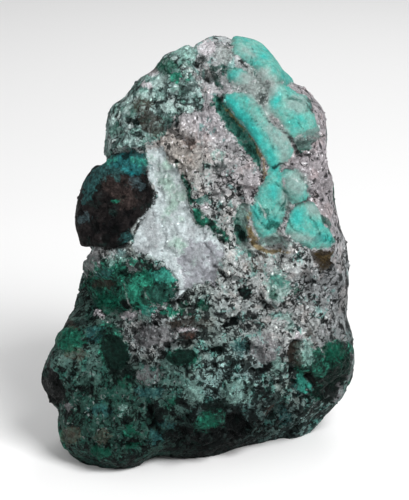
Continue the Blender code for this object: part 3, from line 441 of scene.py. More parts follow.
# Stains, crusts, cracks and seams, which are only colour, on the front drawing
MARKS = {
    # Greyer, paler parts of the nodules
    "frost": [
        Area([
            (11.0, 72.2), (13.0, 70.6), (15.2, 69.0), (17.2, 67.2), (18.2, 65.0), (17.8, 62.6),
            (16.6, 61.6), (16.0, 64.2), (14.6, 66.8), (12.8, 69.4), (11.6, 72.0), (11.0, 74.6),
            (12.4, 74.0)]),
        Oval(19.8, 73.6, 2.2, 1.8), Oval(19.4, 58.6, 2.4, 2.4), Oval(17.6, 54.4, 0.9, 2.4, 20),
        Oval(10.2, 84.6, 2.0, 0.8, -35), Oval(12.8, 80.0, 1.6, 0.8, 30), Oval(9.6, 79.6, 1.6, 0.8),
        Oval(20.6, 47.4, 2.6, 0.8, -8), Oval(23.0, 52.6, 1.8, 1.2, -40),
    ],
    # The deep bright cores of the nodules
    "core": [
        Band([
            (6.0, 74.8, 0.7), (7.6, 73.4, 1.1), (9.4, 70.9, 1.2), (11.3, 68.2, 1.0),
            (13.2, 65.6, 0.8), (14.9, 63.2, 0.7), (15.3, 61.0, 0.5)]),
        Oval(7.6, 79.6, 0.8, 0.5, 30), Oval(13.4, 83.6, 1.0, 0.8), Oval(15.6, 74.8, 0.6, 1.8),
        Oval(19.6, 51.2, 1.3, 1.9), Oval(11.6, 52.2, 0.7, 1.3, 20), Oval(25.6, 47.2, 1.4, 0.6, -20),
        Oval(15.0, 56.6, 1.0, 1.6),
    ],
    # Soft grey-green between the nodules
    "haze": [
        Oval(12.4, 77.6, 3.6, 3.0, -20), Oval(9.4, 77.8, 2.4, 0.6, -10), Oval(15.8, 46.2, 3.0, 1.3),
        Oval(11.6, 45.0, 2.6, 1.2, -20), Oval(9.6, 51.4, 1.0, 2.2), Oval(5.6, 83.8, 1.8, 1.8),
        Band([(12.6, 75.0, 0.5), (14.4, 71.8, 0.9), (16.6, 68.8, 0.8), (18.2, 66.0, 0.5)]),
    ],
    # Grey-teal on the right-hand nodule's underside: partly its own greyer colour, partly painted shade
    "shaded_underside": [
        Area([
            (18.8, 66.6), (20.4, 67.6), (22.4, 68.8), (24.4, 69.6), (24.8, 67.4), (23.2, 65.0),
            (21.2, 64.4), (19.6, 65.0)]),
    ],
    # Dark green: painted shade beside the nodules, and the darker green of a malachite lump
    "shade": [
        Oval(4.2, 80.9, 1.7, 0.9), Band([(3.6, 79.8, 0.5), (4.2, 77.8, 0.6), (5.4, 75.6, 0.4)]),
        Oval(25.8, 50.4, 1.4, 0.8, -35), Oval(21.6, 55.2, 1.0, 0.4, -10),
        Oval(-6.8, 36.1, 2.6, 1.9),
    ],
    # The darkest, blue-green parts of the nodules
    "deep_teal": [
        Oval(13.0, 52.8, 1.2, 0.9, -20), Oval(14.8, 50.0, 1.4, 1.0, -30), Oval(6.4, 80.6, 1.2, 0.7, 30),
        Oval(26.2, 46.8, 1.0, 0.5, -20), Oval(17.2, 53.6, 0.5, 1.0),
    ],
    # Brighter blue-green in the boulder's crust
    "azure": [
        Oval(-14.6, 62.4, 2.4, 1.4), Oval(-12.6, 60.6, 2.0, 1.2, -20), Oval(-11.4, 62.2, 0.8, 1.2),
    ],
    # A grey-blue veil at the boulder's upper right, and its paler grains
    "veil": [
        Oval(-11.4, 57.8, 1.7, 1.2, -40), Oval(-22.0, 50.8, 1.2, 0.7, -20), Oval(-15.6, 43.6, 1.0, 0.9),
    ],
    # Reddish brown in the boulder's upper middle
    "boulder_brown": [Oval(-15.4, 57.6, 3.4, 2.4, -20), Oval(-13.6, 54.4, 2.2, 1.8, 30)],
    # The greyer foot of the quartz
    "lilac": [
        Area([
            (-4.4, 42.0), (-1.0, 46.4), (3.0, 46.0), (5.6, 43.6), (4.4, 41.0), (3.6, 38.0),
            (-0.2, 38.2), (-3.0, 36.0), (-2.6, 39.0)]),
    ],
    # Pale grey-green grains in the mottled lump
    "pale_grey": [
        Oval(-5.2, 72.9, 1.5, 1.1), Oval(-6.8, 77.8, 1.7, 1.3, 20), Oval(-13.6, 74.6, 1.3, 0.9, 30),
        Oval(-13.4, 72.6, 0.9, 0.9), Oval(-9.0, 75.0, 1.2, 0.6), Oval(-1.4, 72.8, 1.0, 0.7),
        Oval(-15.6, 64.9, 1.2, 0.6), Oval(-16.6, 70.6, 1.0, 0.8),
    ],
    # Dark green grains with sharp edges
    "lens": [
        Area([
            (-6.5, 23.0), (-5.2, 24.2), (-2.9, 24.9), (-0.8, 24.6), (-0.1, 23.6), (-1.0, 22.3),
            (-3.4, 21.6), (-5.4, 22.0)]),
        Area([
            (26.2, 23.6), (27.8, 26.0), (29.6, 25.4), (29.9, 22.0), (29.0, 19.0), (26.6, 16.6),
            (25.0, 17.6), (25.4, 20.6)]),
        Area([
            (-18.4, 24.8), (-17.6, 27.2), (-15.4, 27.4), (-13.9, 25.4), (-13.7, 22.8), (-14.6, 20.4),
            (-16.4, 20.6), (-17.9, 22.4)]),
    ],
    # Bright green smears
    "bright_green": [
        Oval(-10.4, 38.9, 2.2, 1.1, -10), Oval(-12.2, 36.2, 1.2, 1.8, 20), Oval(-16.4, 34.2, 1.6, 0.8, 20),
        Oval(-11.0, 33.2, 2.2, 1.0, 10), Oval(-15.4, 54.2, 1.4, 0.5), Oval(-5.4, 32.2, 1.6, 0.6),
        Oval(-3.0, 78.4, 1.5, 0.7), Oval(21.2, 18.6, 0.7, 1.6), Oval(-16.8, 62.6, 1.6, 0.6, 15),
        Oval(-11.4, 62.4, 1.6, 0.7), Oval(-11.8, 37.2, 1.6, 1.1),
    ],
    # Pale blue-green crusts
    "pale_teal": [
        Oval(-9.5, 78.9, 1.7, 1.1), Oval(-10.3, 75.4, 1.1, 0.8), Oval(-2.1, 84.0, 2.3, 1.6),
        Oval(-7.3, 75.0, 1.3, 1.0), Oval(-14.3, 75.9, 1.1, 1.5), Oval(4.0, 63.5, 1.2, 1.1),
        Oval(16.2, 37.3, 2.4, 3.2), Oval(18.0, 30.2, 1.0, 1.8), Oval(16.4, 21.2, 1.2, 2.4),
        Oval(-0.8, 16.5, 2.0, 1.9), Oval(8.2, 16.2, 3.6, 2.4, 10), Oval(-10.7, 31.3, 1.7, 0.9),
        Oval(-6.3, 21.8, 1.1, 0.8), Oval(21.8, 24.0, 1.6, 2.6), Oval(-14.9, 12.4, 1.1, 0.8),
        Oval(-15.9, 43.0, 1.5, 1.0), Oval(15.4, 46.2, 2.6, 1.1), Oval(9.7, 50.4, 0.9, 1.9),
    ],
    # Greyer patches of the lower half
    "grey": [
        Oval(-8.4, 27.3, 4.2, 2.1), Oval(-9.7, 19.7, 2.1, 1.7), Oval(13.4, 25.0, 2.4, 2.8),
        Oval(-26.1, 12.8, 1.3, 0.6), Oval(30.5, 21.0, 1.3, 3.2), Oval(27.7, 15.8, 2.1, 2.0, 40),
        Oval(-21.0, 42.0, 1.6, 2.6), Oval(-12.2, 40.7, 2.0, 0.9),
    ],
    # Pale pinkish grains and patches
    "pale": [
        Oval(-8.5, 79.5, 1.1, 0.9), Oval(-9.7, 76.9, 1.1, 0.5), Oval(2.1, 84.9, 1.7, 1.5),
        Oval(19.9, 27.7, 1.0, 0.9), Oval(-1.9, 29.0, 1.7, 0.4), Oval(1.6, 54.0, 1.0, 1.4),
        Oval(-13.8, 31.4, 1.0, 0.8), Oval(-18.8, 30.8, 1.6, 0.8, -25),
    ],
    # Tan and olive patches
    "tan": [
        Oval(-24.2, 24.0, 2.0, 1.2), Oval(11.7, 41.5, 2.1, 1.3), Oval(-10.4, 72.8, 2.2, 1.6),
        Oval(-25.8, 7.2, 2.2, 1.8), Oval(-18.9, 7.5, 1.5, 1.5),
    ],
    # Brown and olive stains
    "brown": [
        Oval(-10.0, 79.6, 3.0, 1.1, 25), Oval(-8.9, 69.8, 2.9, 2.2, -30), Oval(-1.4, 30.3, 4.4, 1.1),
        Oval(19.8, 23.6, 1.4, 2.8),
        Oval(22.5, 28.0, 1.1, 1.0), Oval(-17.5, 38.2, 1.9, 1.0), Oval(-24.7, 29.0, 2.1, 0.8, -25),
        Oval(25.4, 43.2, 2.0, 1.4), Oval(22.5, 18.4, 0.9, 1.8),
    ],
    # Small red-brown stains
    "red_brown": [
        Oval(-0.9, 65.5, 1.1, 0.9), Oval(-1.8, 27.7, 1.4, 0.7), Oval(14.9, 12.6, 1.3, 0.8),
    ],
    # Dark grey-green patches
    "dark": [
        Oval(-5.0, 70.3, 1.3, 1.9, 10), Oval(-1.2, 76.7, 1.8, 0.9, 25), Oval(2.6, 79.4, 1.6, 1.4),
        Oval(-7.1, 72.6, 1.3, 1.4), Oval(-3.6, 78.5, 1.6, 0.9), Oval(1.0, 82.2, 1.2, 1.0),
        Oval(13.0, 75.0, 0.8, 1.2), Oval(-23.5, 30.0, 1.5, 1.2), Oval(4.6, 61.1, 1.4, 1.1),
        Oval(16.0, 14.8, 1.4, 1.4), Oval(22.4, 73.8, 1.0, 1.6),
    ],
    # Deep green patches
    "deep_green": [
        Area([
            (-19.2, 27.2), (-17.0, 27.8), (-14.2, 26.6), (-13.4, 24.2), (-13.6, 22.2),
            (-12.0, 20.2), (-12.2, 18.6), (-15.4, 18.6), (-17.4, 21.0), (-19.0, 24.2)]),
        Oval(-11.4, 67.4, 1.1, 1.0), Oval(4.0, 13.5, 2.4, 1.7), Oval(25.4, 17.2, 2.4, 3.0),
        Oval(-12.7, 70.3, 0.9, 0.9), Oval(-9.2, 40.6, 3.6, 0.9, -8),
    ],
    # Bright malachite green
    "green": [
        Oval(-25.7, 26.6, 3.3, 2.0), Oval(26.8, 24.4, 2.0, 1.6), Oval(-17.7, 33.6, 2.3, 2.6, 30),
        Oval(-2.4, 33.2, 1.2, 1.0), Oval(0.9, 33.4, 1.3, 0.8),
        Oval(15.2, 35.7, 0.8, 1.3), Oval(20.3, 36.1, 0.7, 0.9), Oval(2.2, 10.7, 2.0, 1.3),
        Oval(0.4, 51.0, 1.0, 1.8), Oval(-13.3, 8.2, 1.3, 1.0), Oval(-12.4, 5.2, 1.6, 0.8),
        Oval(-19.3, 4.3, 2.1, 1.1), Oval(-4.9, 14.6, 1.1, 0.8), Oval(-14.0, 18.1, 1.4, 1.1),
        Oval(-5.4, 80.6, 2.0, 1.4), Oval(-15.3, 54.2, 1.3, 0.6), Oval(0.9, 87.2, 0.9, 0.4),
    ],
    # Dark blue-teal crusts
    "teal": [
        Area([
            (-22.6, 54.2), (-22.6, 59.0), (-20.4, 61.6), (-18.2, 63.4), (-14.4, 64.6),
            (-10.4, 64.2), (-9.6, 61.0), (-10.8, 59.0), (-13.0, 60.6), (-15.0, 58.8), (-18.2, 59.2),
            (-20.2, 57.0), (-21.0, 53.8)]),
        Oval(-20.5, 27.5, 1.3, 1.1), Oval(-9.5, 16.3, 2.7, 1.1), Oval(-6.3, 9.7, 1.7, 0.9),
        Oval(-8.2, 6.6, 1.4, 1.2), Oval(17.5, 11.6, 1.1, 1.2), Oval(-13.8, 47.2, 1.2, 1.0),
        Oval(8.5, 25.3, 1.7, 1.9), Oval(-19.1, 12.9, 2.3, 1.1), Oval(21.1, 17.2, 1.1, 2.2),
        Oval(-17.8, 40.7, 1.2, 0.9), Oval(24.2, 47.0, 1.3, 1.0, -20),
    ],
    # Bright turquoise streaks
    "turquoise": [
        Oval(-6.9, 39.4, 2.5, 1.0, -15), Oval(-10.1, 32.9, 2.1, 1.1, 10), Oval(1.5, 54.6, 1.7, 1.0),
        Oval(16.3, 38.5, 1.9, 1.3), Oval(21.0, 17.6, 0.8, 1.4),
    ],
    # Black patches
    "black": [
        Oval(-29.0, 16.5, 2.0, 3.3), Oval(-13.6, 33.9, 1.5, 1.0), Oval(-8.7, 12.0, 1.3, 2.2),
        Oval(-2.8, 14.6, 1.2, 1.2), Oval(-13.0, 6.3, 1.2, 0.9), Oval(-13.7, 2.9, 1.7, 1.3),
        Oval(-4.9, 7.3, 1.1, 0.9), Oval(7.1, 9.4, 1.5, 3.0), Oval(-8.1, 11.8, 1.3, 2.4),
        Oval(14.7, 20.8, 1.3, 1.0, -30), Oval(13.3, 15.4, 1.3, 0.8), Oval(9.8, 16.7, 0.6, 2.1),
        Oval(6.8, 30.1, 1.0, 0.7, 25), Oval(3.8, 24.5, 1.0, 0.7, 10), Oval(14.5, 21.1, 0.9, 0.7),
        Oval(16.4, 32.9, 2.4, 0.5), Oval(19.7, 33.9, 0.5, 0.9), Oval(-5.2, 83.8, 0.6, 0.6),
        Oval(-17.9, 31.0, 0.9, 0.6, -25),
    ],
    # Ochre lines along the nodules' edges
    "rust": [
        Band([
            (4.6, 74.2, 0.15), (6.2, 72.2, 0.2), (8.0, 69.8, 0.2), (10.0, 67.2, 0.25),
            (11.8, 65.0, 0.3), (13.2, 62.8, 0.35), (13.5, 60.8, 0.3), (12.6, 58.6, 0.1)]),
        Band([
            (10.4, 52.2, 0.1), (10.3, 49.6, 0.4), (10.9, 47.4, 0.55), (12.2, 45.4, 0.6),
            (14.2, 44.1, 0.5), (16.2, 43.9, 0.4), (17.9, 44.4, 0.15)]),
        Band([(23.2, 44.2, 0.1), (24.4, 43.0, 0.35), (25.8, 43.4, 0.3), (27.2, 44.2, 0.1)]),
        Band([(23.8, 42.0, 0.05), (24.8, 41.4, 0.2), (26.0, 41.8, 0.05)]),
    ],
    # The dark rust under the lowest nodule
    "dark_rust": [
        Area([
            (21.8, 44.4), (23.4, 44.8), (25.6, 44.6), (27.6, 45.0), (27.4, 42.8), (25.8, 40.8),
            (24.0, 40.9), (22.6, 42.6)]),
        Oval(13.6, 43.4, 1.4, 0.5, -20),
    ],
    # Thin white veins
    "vein": [
        Band([
            (-1.4, 81.2, 0.05), (-0.4, 79.7, 0.2), (0.9, 77.5, 0.25), (1.6, 75.3, 0.2),
            (2.6, 73.4, 0.05)]),
        Band([(-14.0, 38.4, -0.1), (-13.4, 35.4, 0.0), (-12.8, 32.8, 0.1)]),
        Band([(-10.2, 37.6, -0.1), (-9.8, 36.2, 0.0), (-8.8, 35.0, 0.0), (-8.2, 33.8, 0.1)]),
        Band([(13.4, 72.8, 0.0), (14.4, 70.9, 0.1), (15.8, 69.2, 0.1), (17.6, 67.8, 0.1)]),
        Band([(-12.2, 45.8, 0.0), (-13.0, 48.2, 0.1), (-11.4, 50.8, 0.0)]),
        Band([(12.0, 54.6, 0.0), (13.0, 52.6, 0.1), (13.2, 51.4, 0.0)]),
        Band([(17.4, 59.4, 0.0), (19.2, 58.8, 0.1), (20.8, 57.6, 0.0)]),
    ],
    # Thin dark seams on the nodules and between their parts
    "seam": [
        Band([
            (13.2, 59.0, 0.05), (16.0, 58.0, 0.15), (17.8, 56.1, 0.15), (17.3, 54.0, 0.15),
            (17.9, 52.3, 0.05)]),
        Band([
            (10.4, 53.8, 0.05), (11.5, 52.3, 0.2), (12.3, 50.7, 0.15), (14.0, 49.2, 0.2),
            (15.2, 50.9, 0.15), (14.2, 53.2, 0.05)]),
        Band([(18.1, 53.6, 0.05), (17.9, 50.7, 0.15), (18.8, 49.0, 0.15), (21.9, 47.4, 0.05)]),
        Band([(11.1, 86.0, 0.0), (10.7, 83.5, 0.1), (11.5, 81.0, 0.15), (12.3, 78.9, 0.1)]),
        Band([(16.9, 76.2, 0.1), (18.1, 74.6, 0.2), (20.2, 74.0, 0.15), (21.9, 72.3, 0.1)]),
        Band([(14.6, 72.6, 0.0), (16.9, 71.7, 0.1), (19.4, 70.8, 0.15), (21.1, 68.4, 0.05)]),
        Band([(9.0, 74.6, 0.0), (11.4, 71.0, 0.1), (13.6, 68.0, 0.15), (15.4, 64.6, 0.1)]),
        Band([(22.0, 51.6, 0.0), (23.4, 49.8, 0.15), (24.2, 48.0, 0.1)]),
    ],
    # Thin black cracks
    "crack": [
        Band([
            (18.2, 28.8, 0.2), (16.8, 27.6, 0.2), (16.4, 25.8, 0.15), (17.2, 24.0, 0.2),
            (17.8, 20.2, 0.2)]),
        Band([
            (12.2, 73.4, 0.15), (13.8, 70.8, 0.2), (15.8, 69.2, 0.2), (17.6, 68.0, 0.25),
            (18.8, 66.2, 0.3), (19.8, 63.6, 0.3)]),
        Band([
            (18.4, 67.4, 0.3), (19.2, 65.4, 0.35), (21.0, 63.4, 0.3), (23.4, 64.0, 0.25),
            (24.2, 66.2, 0.2)]),
        Band([(-13.4, 77.6, 0.2), (-13.2, 75.6, 0.25), (-14.2, 74.4, 0.2), (-15.6, 74.0, 0.2)]),
        Band([
            (-8.6, 76.4, 0.15), (-9.0, 75.0, 0.2), (-8.0, 73.8, 0.25), (-6.0, 73.8, 0.2),
            (-5.6, 75.4, 0.15)]),
        Band([(8.0, 35.2, 0.2), (9.8, 36.0, 0.4), (11.8, 36.8, 0.2)]),
        Band([(12.4, 34.4, 0.2), (13.6, 33.8, 0.3), (15.0, 34.0, 0.15)]),
        Band([(20.6, 35.2, 0.2), (21.6, 33.4, 0.3), (22.0, 31.6, 0.2)]),
        Band([(10.6, 19.6, 0.15), (11.2, 18.0, 0.3), (10.8, 16.4, 0.2)]),
        Band([(9.4, 29.6, 0.15), (10.8, 30.2, 0.25), (12.2, 29.8, 0.15)]),
        Band([(-3.8, 37.6, 0.2), (-4.0, 35.4, 0.2), (-5.4, 33.8, 0.2)]),
        Band([(15.0, 61.4, 0.2), (16.4, 62.4, 0.25), (17.8, 61.8, 0.2)]),
    ],
}

# Colours of the matrix: a side's drawing, place and size there, colour, and shares of black specks
# and of blue-green stain
Zone = namedtuple("Zone", "side x v size colour specks stain")
GROUND_WANDER = 2.2  # how far coarse waves move the zones' edges
FINE_SHARE = 0.4  # how far fine waves move them, as a share of that
ZONE_WAVES = (5.0, (31, 32))  # width of the coarse waves, and their seeds across and up
ZONE_RIPPLES = (2.0, (33, 34))  # the same for the fine ones
ZONE_BACK = (-14.0, 4.0)  # depths at which a side's zones begin and are complete
# What counts where no zone reaches: its weight, and its shares of specks and of stain
PLAIN_WEIGHT = 0.01
PLAIN_SHARE = 0.5
GROUND = [
    Zone("front", 1.6, 69.6, 6.0, PINK_GREY, 0.25, 0.1),
    Zone("front", 3.6, 84.6, 4.0, MID_GREY, 0.4, 0.4),
    Zone("front", 3.6, 60.6, 5.0, LIGHT_GREY, 0.45, 0.3),
    Zone("front", 8.6, 57.0, 5.0, MAUVE_GREY, 0.45, 0.1),
    Zone("front", 6.0, 51.0, 4.0, LIGHT_GREY, 0.5, 0.3),
    Zone("front", -4.0, 66.0, 4.0, WARM_GREY, 0.3, 0.1),
    Zone("front", -1.0, 62.0, 3.0, WARM_GREY, 0.3, 0.1),
    Zone("front", 13.0, 77.0, 3.5, GREEN_GREY, 0.2, 0.2),
    Zone("front", 25.0, 62.0, 6.0, MAUVE_GREY, 0.3, 0.0),
    Zone("front", 27.0, 52.0, 6.0, MAUVE_GREY, 0.35, 0.0),
    Zone("front", 28.0, 38.0, 5.0, DIM_GREY, 0.45, 0.2),
    Zone("front", 30.0, 28.0, 5.0, DIM_GREY, 0.5, 0.1),
    Zone("front", 12.0, 38.6, 6.0, LIGHT_GREY, 0.4, 0.3),
    Zone("front", 20.0, 36.0, 4.0, MID_GREY, 0.5, 0.3),
    Zone("front", 20.0, 30.0, 5.0, LIGHT_GREY, 0.4, 0.3),
    Zone("front", 6.6, 27.6, 7.0, GREEN_GREY, 0.65, 0.35),
    Zone("front", 9.0, 33.0, 4.0, MID_GREY, 0.6, 0.3),
    Zone("front", 8.6, 18.6, 6.0, TEAL_GREY, 0.75, 0.5),
    Zone("front", 14.0, 25.0, 4.0, MAUVE_GREY, 0.55, 0.3),
    Zone("front", 20.6, 15.6, 6.0, GREEN_GREY, 0.8, 0.5),
    Zone("front", 27.0, 14.0, 4.0, DIM_GREY, 0.6, 0.1),
    Zone("front", -9.4, 28.6, 5.0, MID_GREY, 0.75, 0.2),
    Zone("front", -20.4, 33.0, 4.0, DARK_TEAL, 0.5, 0.3),
    Zone("front", -24.4, 20.8, 4.0, SLATE_TEAL, 0.5, 0.4),
    Zone("front", -16.4, 16.6, 6.0, DARK_TEAL, 0.55, 0.5),
    Zone("front", -6.4, 17.6, 6.0, SLATE_TEAL, 0.5, 0.4),
    Zone("front", -22.4, 11.6, 6.0, DARK_TEAL, 0.45, 0.3),
    Zone("front", -14.4, 8.6, 7.0, DARK_TEAL, 0.5, 0.4),
    # the next five zones make the front darker towards the floor: partly the stone's own dark colour,
    # partly painted shade
    Zone("front", -17.0, 1.0, 6.0, NIGHT_TEAL, 0.7, 0.2),
    Zone("front", -2.0, 8.0, 5.0, NEAR_BLACK, 0.8, 0.2),
    Zone("front", 6.6, 6.6, 7.0, NEAR_BLACK, 0.8, 0.1),
    Zone("front", 14.0, 10.6, 4.0, NIGHT_TEAL, 0.8, 0.4),
    Zone("front", 18.0, 6.0, 6.0, NIGHT_TEAL, 0.7, 0.1),
    Zone("front", -22.0, 43.0, 4.0, MID_GREY, 0.6, 0.2),
    Zone("front", -24.0, 37.0, 4.0, NIGHT_TEAL, 0.5, 0.2),
    Zone("back", 8.0, 72.0, 9.0, LIGHT_GREY, 0.4, 0.2),
    Zone("back", -8.0, 60.0, 10.0, PINK_GREY, 0.4, 0.2),
    Zone("back", 10.0, 55.0, 9.0, GREEN_GREY, 0.6, 0.4),
    Zone("back", 18.0, 38.0, 9.0, SLATE_TEAL, 0.7, 0.5),
    Zone("back", -16.0, 36.0, 10.0, MID_GREY, 0.6, 0.3),
    Zone("back", 0.0, 30.0, 9.0, LIGHT_GREY, 0.6, 0.2),
    Zone("back", -18.0, 12.0, 9.0, TEAL_GREY, 0.8, 0.5),
    Zone("back", 2.0, 10.0, 10.0, DARK_TEAL, 0.8, 0.5),
    Zone("back", 20.0, 12.0, 9.0, NIGHT_TEAL, 0.8, 0.3),
    Zone("right", 4.0, 60.0, 10.0, MAUVE_GREY, 0.5, 0.1),
    Zone("right", 2.0, 40.0, 10.0, MID_GREY, 0.6, 0.2),
    Zone("right", 4.0, 15.0, 10.0, SLATE_TEAL, 0.8, 0.4),
    Zone("left", 0.0, 66.0, 10.0, MID_GREY, 0.5, 0.4),
    Zone("left", 0.0, 42.0, 9.0, GREEN_GREY, 0.6, 0.4),
    Zone("left", 0.0, 14.0, 11.0, DARK_TEAL, 0.8, 0.5),
]


def smooth_step(low, high, value):
    part = np.clip((value - low) / (high - low), 0.0, 1.0)
    return part * part * (3.0 - 2.0 * part)


def unit(rows):
    return rows / np.linalg.norm(rows, axis=1)[:, None]


def direction_cube(cells):
    """The directions from a cube's middle to evenly spread points on it, and the squares between."""
    cube = bmesh.new()
    bmesh.ops.create_cube(cube, size=2.0)
    bmesh.ops.subdivide_edges(cube, edges=cube.edges[:], cuts=cells - 1, use_grid_fill=True)
    corners = np.array([vertex.co for vertex in cube.verts])
    squares = np.array([[vertex.index for vertex in face.verts] for face in cube.faces])
    cube.free()
    return unit(np.tan(corners * math.pi / 4)), squares


def body_depth(points):
    """How far each point lies outside the joined masses and their flats, negative inside."""
    inside = np.zeros(len(points))
    for centre, half in MASSES:
        scaled = (points - np.array(centre)) / np.array(half)
        far = np.linalg.norm(scaled, axis=1)
        slope = np.linalg.norm(scaled / np.array(half), axis=1)
        depth = far * (far - 1.0) / np.maximum(slope, TINY)
        inside += np.exp(-np.clip(depth, -DEEPEST, DEEPEST) / MASS_BLEND)
    outside = np.exp(-MASS_BLEND * np.log(inside) / FLAT_BLEND)
    for facing, away in FLATS:
        facing = np.array(facing) / np.linalg.norm(facing)
        depth = np.clip((points - np.array(INSIDE)) @ facing - away, -DEEPEST, DEEPEST)
        outside += np.exp(depth / FLAT_BLEND)
    return FLAT_BLEND * np.log(outside)


def body_points(ways):
    """Where the body ends along each direction, found by stepping in from outside it."""
    reach = np.full(len(ways), MARCH_FROM)
    for _ in range(MARCH_STEPS):
        reach -= MARCH_SHARE * body_depth(np.array(INSIDE) + ways * reach[:, None])
    return np.array(INSIDE) + ways * reach[:, None]


def noise(points, width, seed):
    """Smooth waves between -1 and 1 over the points, of about the width given."""
    lattice = np.random.default_rng(seed).uniform(-1.0, 1.0, (NOISE_CELLS,) * 3)
    place = points / width
    home = np.floor(place).astype(int)
    part = smooth_step(0.0, 1.0, place - home)
    total = np.zeros(len(points))
    for corner in itertools.product((0, 1), repeat=3):
        at = (home + corner) % NOISE_CELLS
        share = np.prod(np.where(corner, part, 1.0 - part), axis=1)
        total += share * lattice[at[:, 0], at[:, 1], at[:, 2]]
    return total


def blocks(points, width, stand, lean, seed):
    """The surface of broken blocks: each stands out by its own amount and leans its own way."""
    rng = np.random.default_rng(seed)
    lattice = (BLOCK_CELLS,) * 3
    middles = rng.random((*lattice, 3))
    stands = rng.uniform(-stand, stand, lattice)
    leans = rng.normal(0.0, lean, (*lattice, 3))
    place = points / width
    home = np.floor(place).astype(int)
    nearest = np.full(len(points), np.inf)
    height = np.zeros(len(points))
    for step in itertools.product((-1, 0, 1), repeat=3):
        at = home + step
        key = tuple((at % BLOCK_CELLS).T)
        offset = at + middles[key] - place
        away = np.linalg.norm(offset, axis=1)
        closer = away < nearest
        nearest = np.where(closer, away, nearest)
        leaning = stands[key] + width * np.sum(offset * leans[key], axis=1)
        height = np.where(closer, leaning, height)
    return np.clip(height, -BLOCK_LIMIT * stand, BLOCK_LIMIT * stand)


def spread(points, squares):
    """The way the surface faces at each point, as long as the area around it is large."""
    across = points[squares[:, 2]] - points[squares[:, 0]]
    facing = np.cross(across, points[squares[:, 3]] - points[squares[:, 1]])
    total = np.zeros_like(points)
    for corner in range(4):
        np.add.at(total, squares[:, corner], facing)
    return total


def outward(points, squares):
    return unit(spread(points, squares))


def front_drawing(points):
    """Each point's x and v on the front drawing, how far it lies towards the eye, and the scale there."""
    offset = points - np.array(VIEW_AIM)
    near = -offset[:, 1] * math.cos(VIEW_RISE) + offset[:, 2] * math.sin(VIEW_RISE)
    rise = offset[:, 1] * math.sin(VIEW_RISE) + offset[:, 2] * math.cos(VIEW_RISE)
    scale = VIEW_AWAY / (VIEW_AWAY - near)
    return VIEW_X + offset[:, 0] * scale, VIEW_V + rise * scale, near, scale


def side_drawings(points):
    """Each side's drawing of the points: across, up and towards the eye."""
    x, y, z = points.T
    across, up, near, _ = front_drawing(points)
    return {"front": (across, up, near), "back": (-x, z, y), "right": (y, z, x), "left": (-y, z, -x)}


def draw_to_outline(points, soften, rim):
    """Moves the points so that the edge of their front drawing follows the outline.

    The change is softened over that many sectors. With rim it acts only near the edge.
    """
    across, up, near, scale = front_drawing(points)
    across = across - OUTLINE_MIDDLE[0]
    up = up - OUTLINE_MIDDLE[1]
    turn = np.arctan2(up, across)
    reach = np.hypot(across, up)
    middles = (np.arange(SECTORS) + 0.5) * math.tau / SECTORS - math.pi
    sector = ((turn + math.pi) / math.tau * SECTORS).astype(int) % SECTORS
    furthest = np.argsort(reach)
    edge = np.zeros(SECTORS)
    edge[sector[furthest]] = reach[furthest]
    edge_near = np.zeros(SECTORS)
    edge_near[sector[furthest]] = near[furthest]
    drawn = np.array(OUTLINE) - np.array(OUTLINE_MIDDLE)
    wanted = np.interp(middles, *sorted_turn(drawn), period=math.tau)
    change = np.interp(turn, middles, softened(wanted / edge, soften), period=math.tau) - 1.0
    if rim:
        change *= smooth_step(RIM, 1.0, reach / np.interp(turn, middles, edge, period=math.tau))
        smoothed = softened(edge_near, DEPTH_SOFTEN * soften)
        depth = near - np.interp(turn, middles, smoothed, period=math.tau)
        change *= np.exp(-((depth / RIM_DEPTH) ** 2))
    moved = points.copy()
    moved[:, 0] += change * across / scale
    moved[:, 1] += change * up / scale * math.sin(VIEW_RISE)
    moved[:, 2] += change * up / scale * math.cos(VIEW_RISE)
    return moved


def softened(values, soften):
    """The values round the turn, each averaged with its neighbours."""
    steps = np.arange(SECTORS) - SECTORS // 2
    weight = np.exp(-0.5 * (steps / soften) ** 2)
    rows = [np.sum(weight * np.roll(values, SECTORS // 2 - at)) for at in range(SECTORS)]
    return np.array(rows) / weight.sum()


def sorted_turn(drawn):
    """Each drawn point's turn round the middle, in rising order, and how far out it is."""
    turn = np.arctan2(drawn[:, 1], drawn[:, 0])
    order = np.argsort(turn)
    return turn[order], np.hypot(drawn[order, 0], drawn[order, 1])


def unworn(points):
    """The share of its broken relief that each point keeps, less near the edge of the front drawing."""
    across, up, _, _ = front_drawing(points)
    across = across - OUTLINE_MIDDLE[0]
    up = up - OUTLINE_MIDDLE[1]
    drawn = np.array(OUTLINE) - np.array(OUTLINE_MIDDLE)
    edge = np.interp(np.arctan2(up, across), *sorted_turn(drawn), period=math.tau)
    return 1.0 - WORN_SHARE * smooth_step(WORN_FROM, WORN_TO, np.hypot(across, up) / edge)


def oval_distance(oval, x, v):
    tilt = math.radians(oval.tilt)
    along = ((x - oval.x) * math.cos(tilt) + (v - oval.v) * math.sin(tilt)) / oval.half_x
    across = ((v - oval.v) * math.cos(tilt) - (x - oval.x) * math.sin(tilt)) / oval.half_v
    far = np.hypot(along, across)
    slope = np.hypot(along / oval.half_x, across / oval.half_v)
    return far * (far - 1.0) / np.maximum(slope, TINY)


def segment_place(start, end, x, v):
    """How far along the segment each point's nearest place on it is, and how far away that is."""
    run = np.array(end) - np.array(start)
    along = np.clip(((x - start[0]) * run[0] + (v - start[1]) * run[1]) / (run @ run), 0.0, 1.0)
    return along, np.hypot(x - start[0] - along * run[0], v - start[1] - along * run[1])


def area_distance(area, x, v):
    away = np.full(len(x), np.inf)
    inside = np.zeros(len(x), bool)
    for start, end in zip(area.points, area.points[1:] + area.points[:1]):
        away = np.minimum(away, segment_place(start, end, x, v)[1])
        if start[1] == end[1]:
            continue
        crossing = start[0] + (v - start[1]) * (end[0] - start[0]) / (end[1] - start[1])
        inside ^= ((start[1] > v) != (end[1] > v)) & (x < crossing)
    return np.where(inside, -away, away)


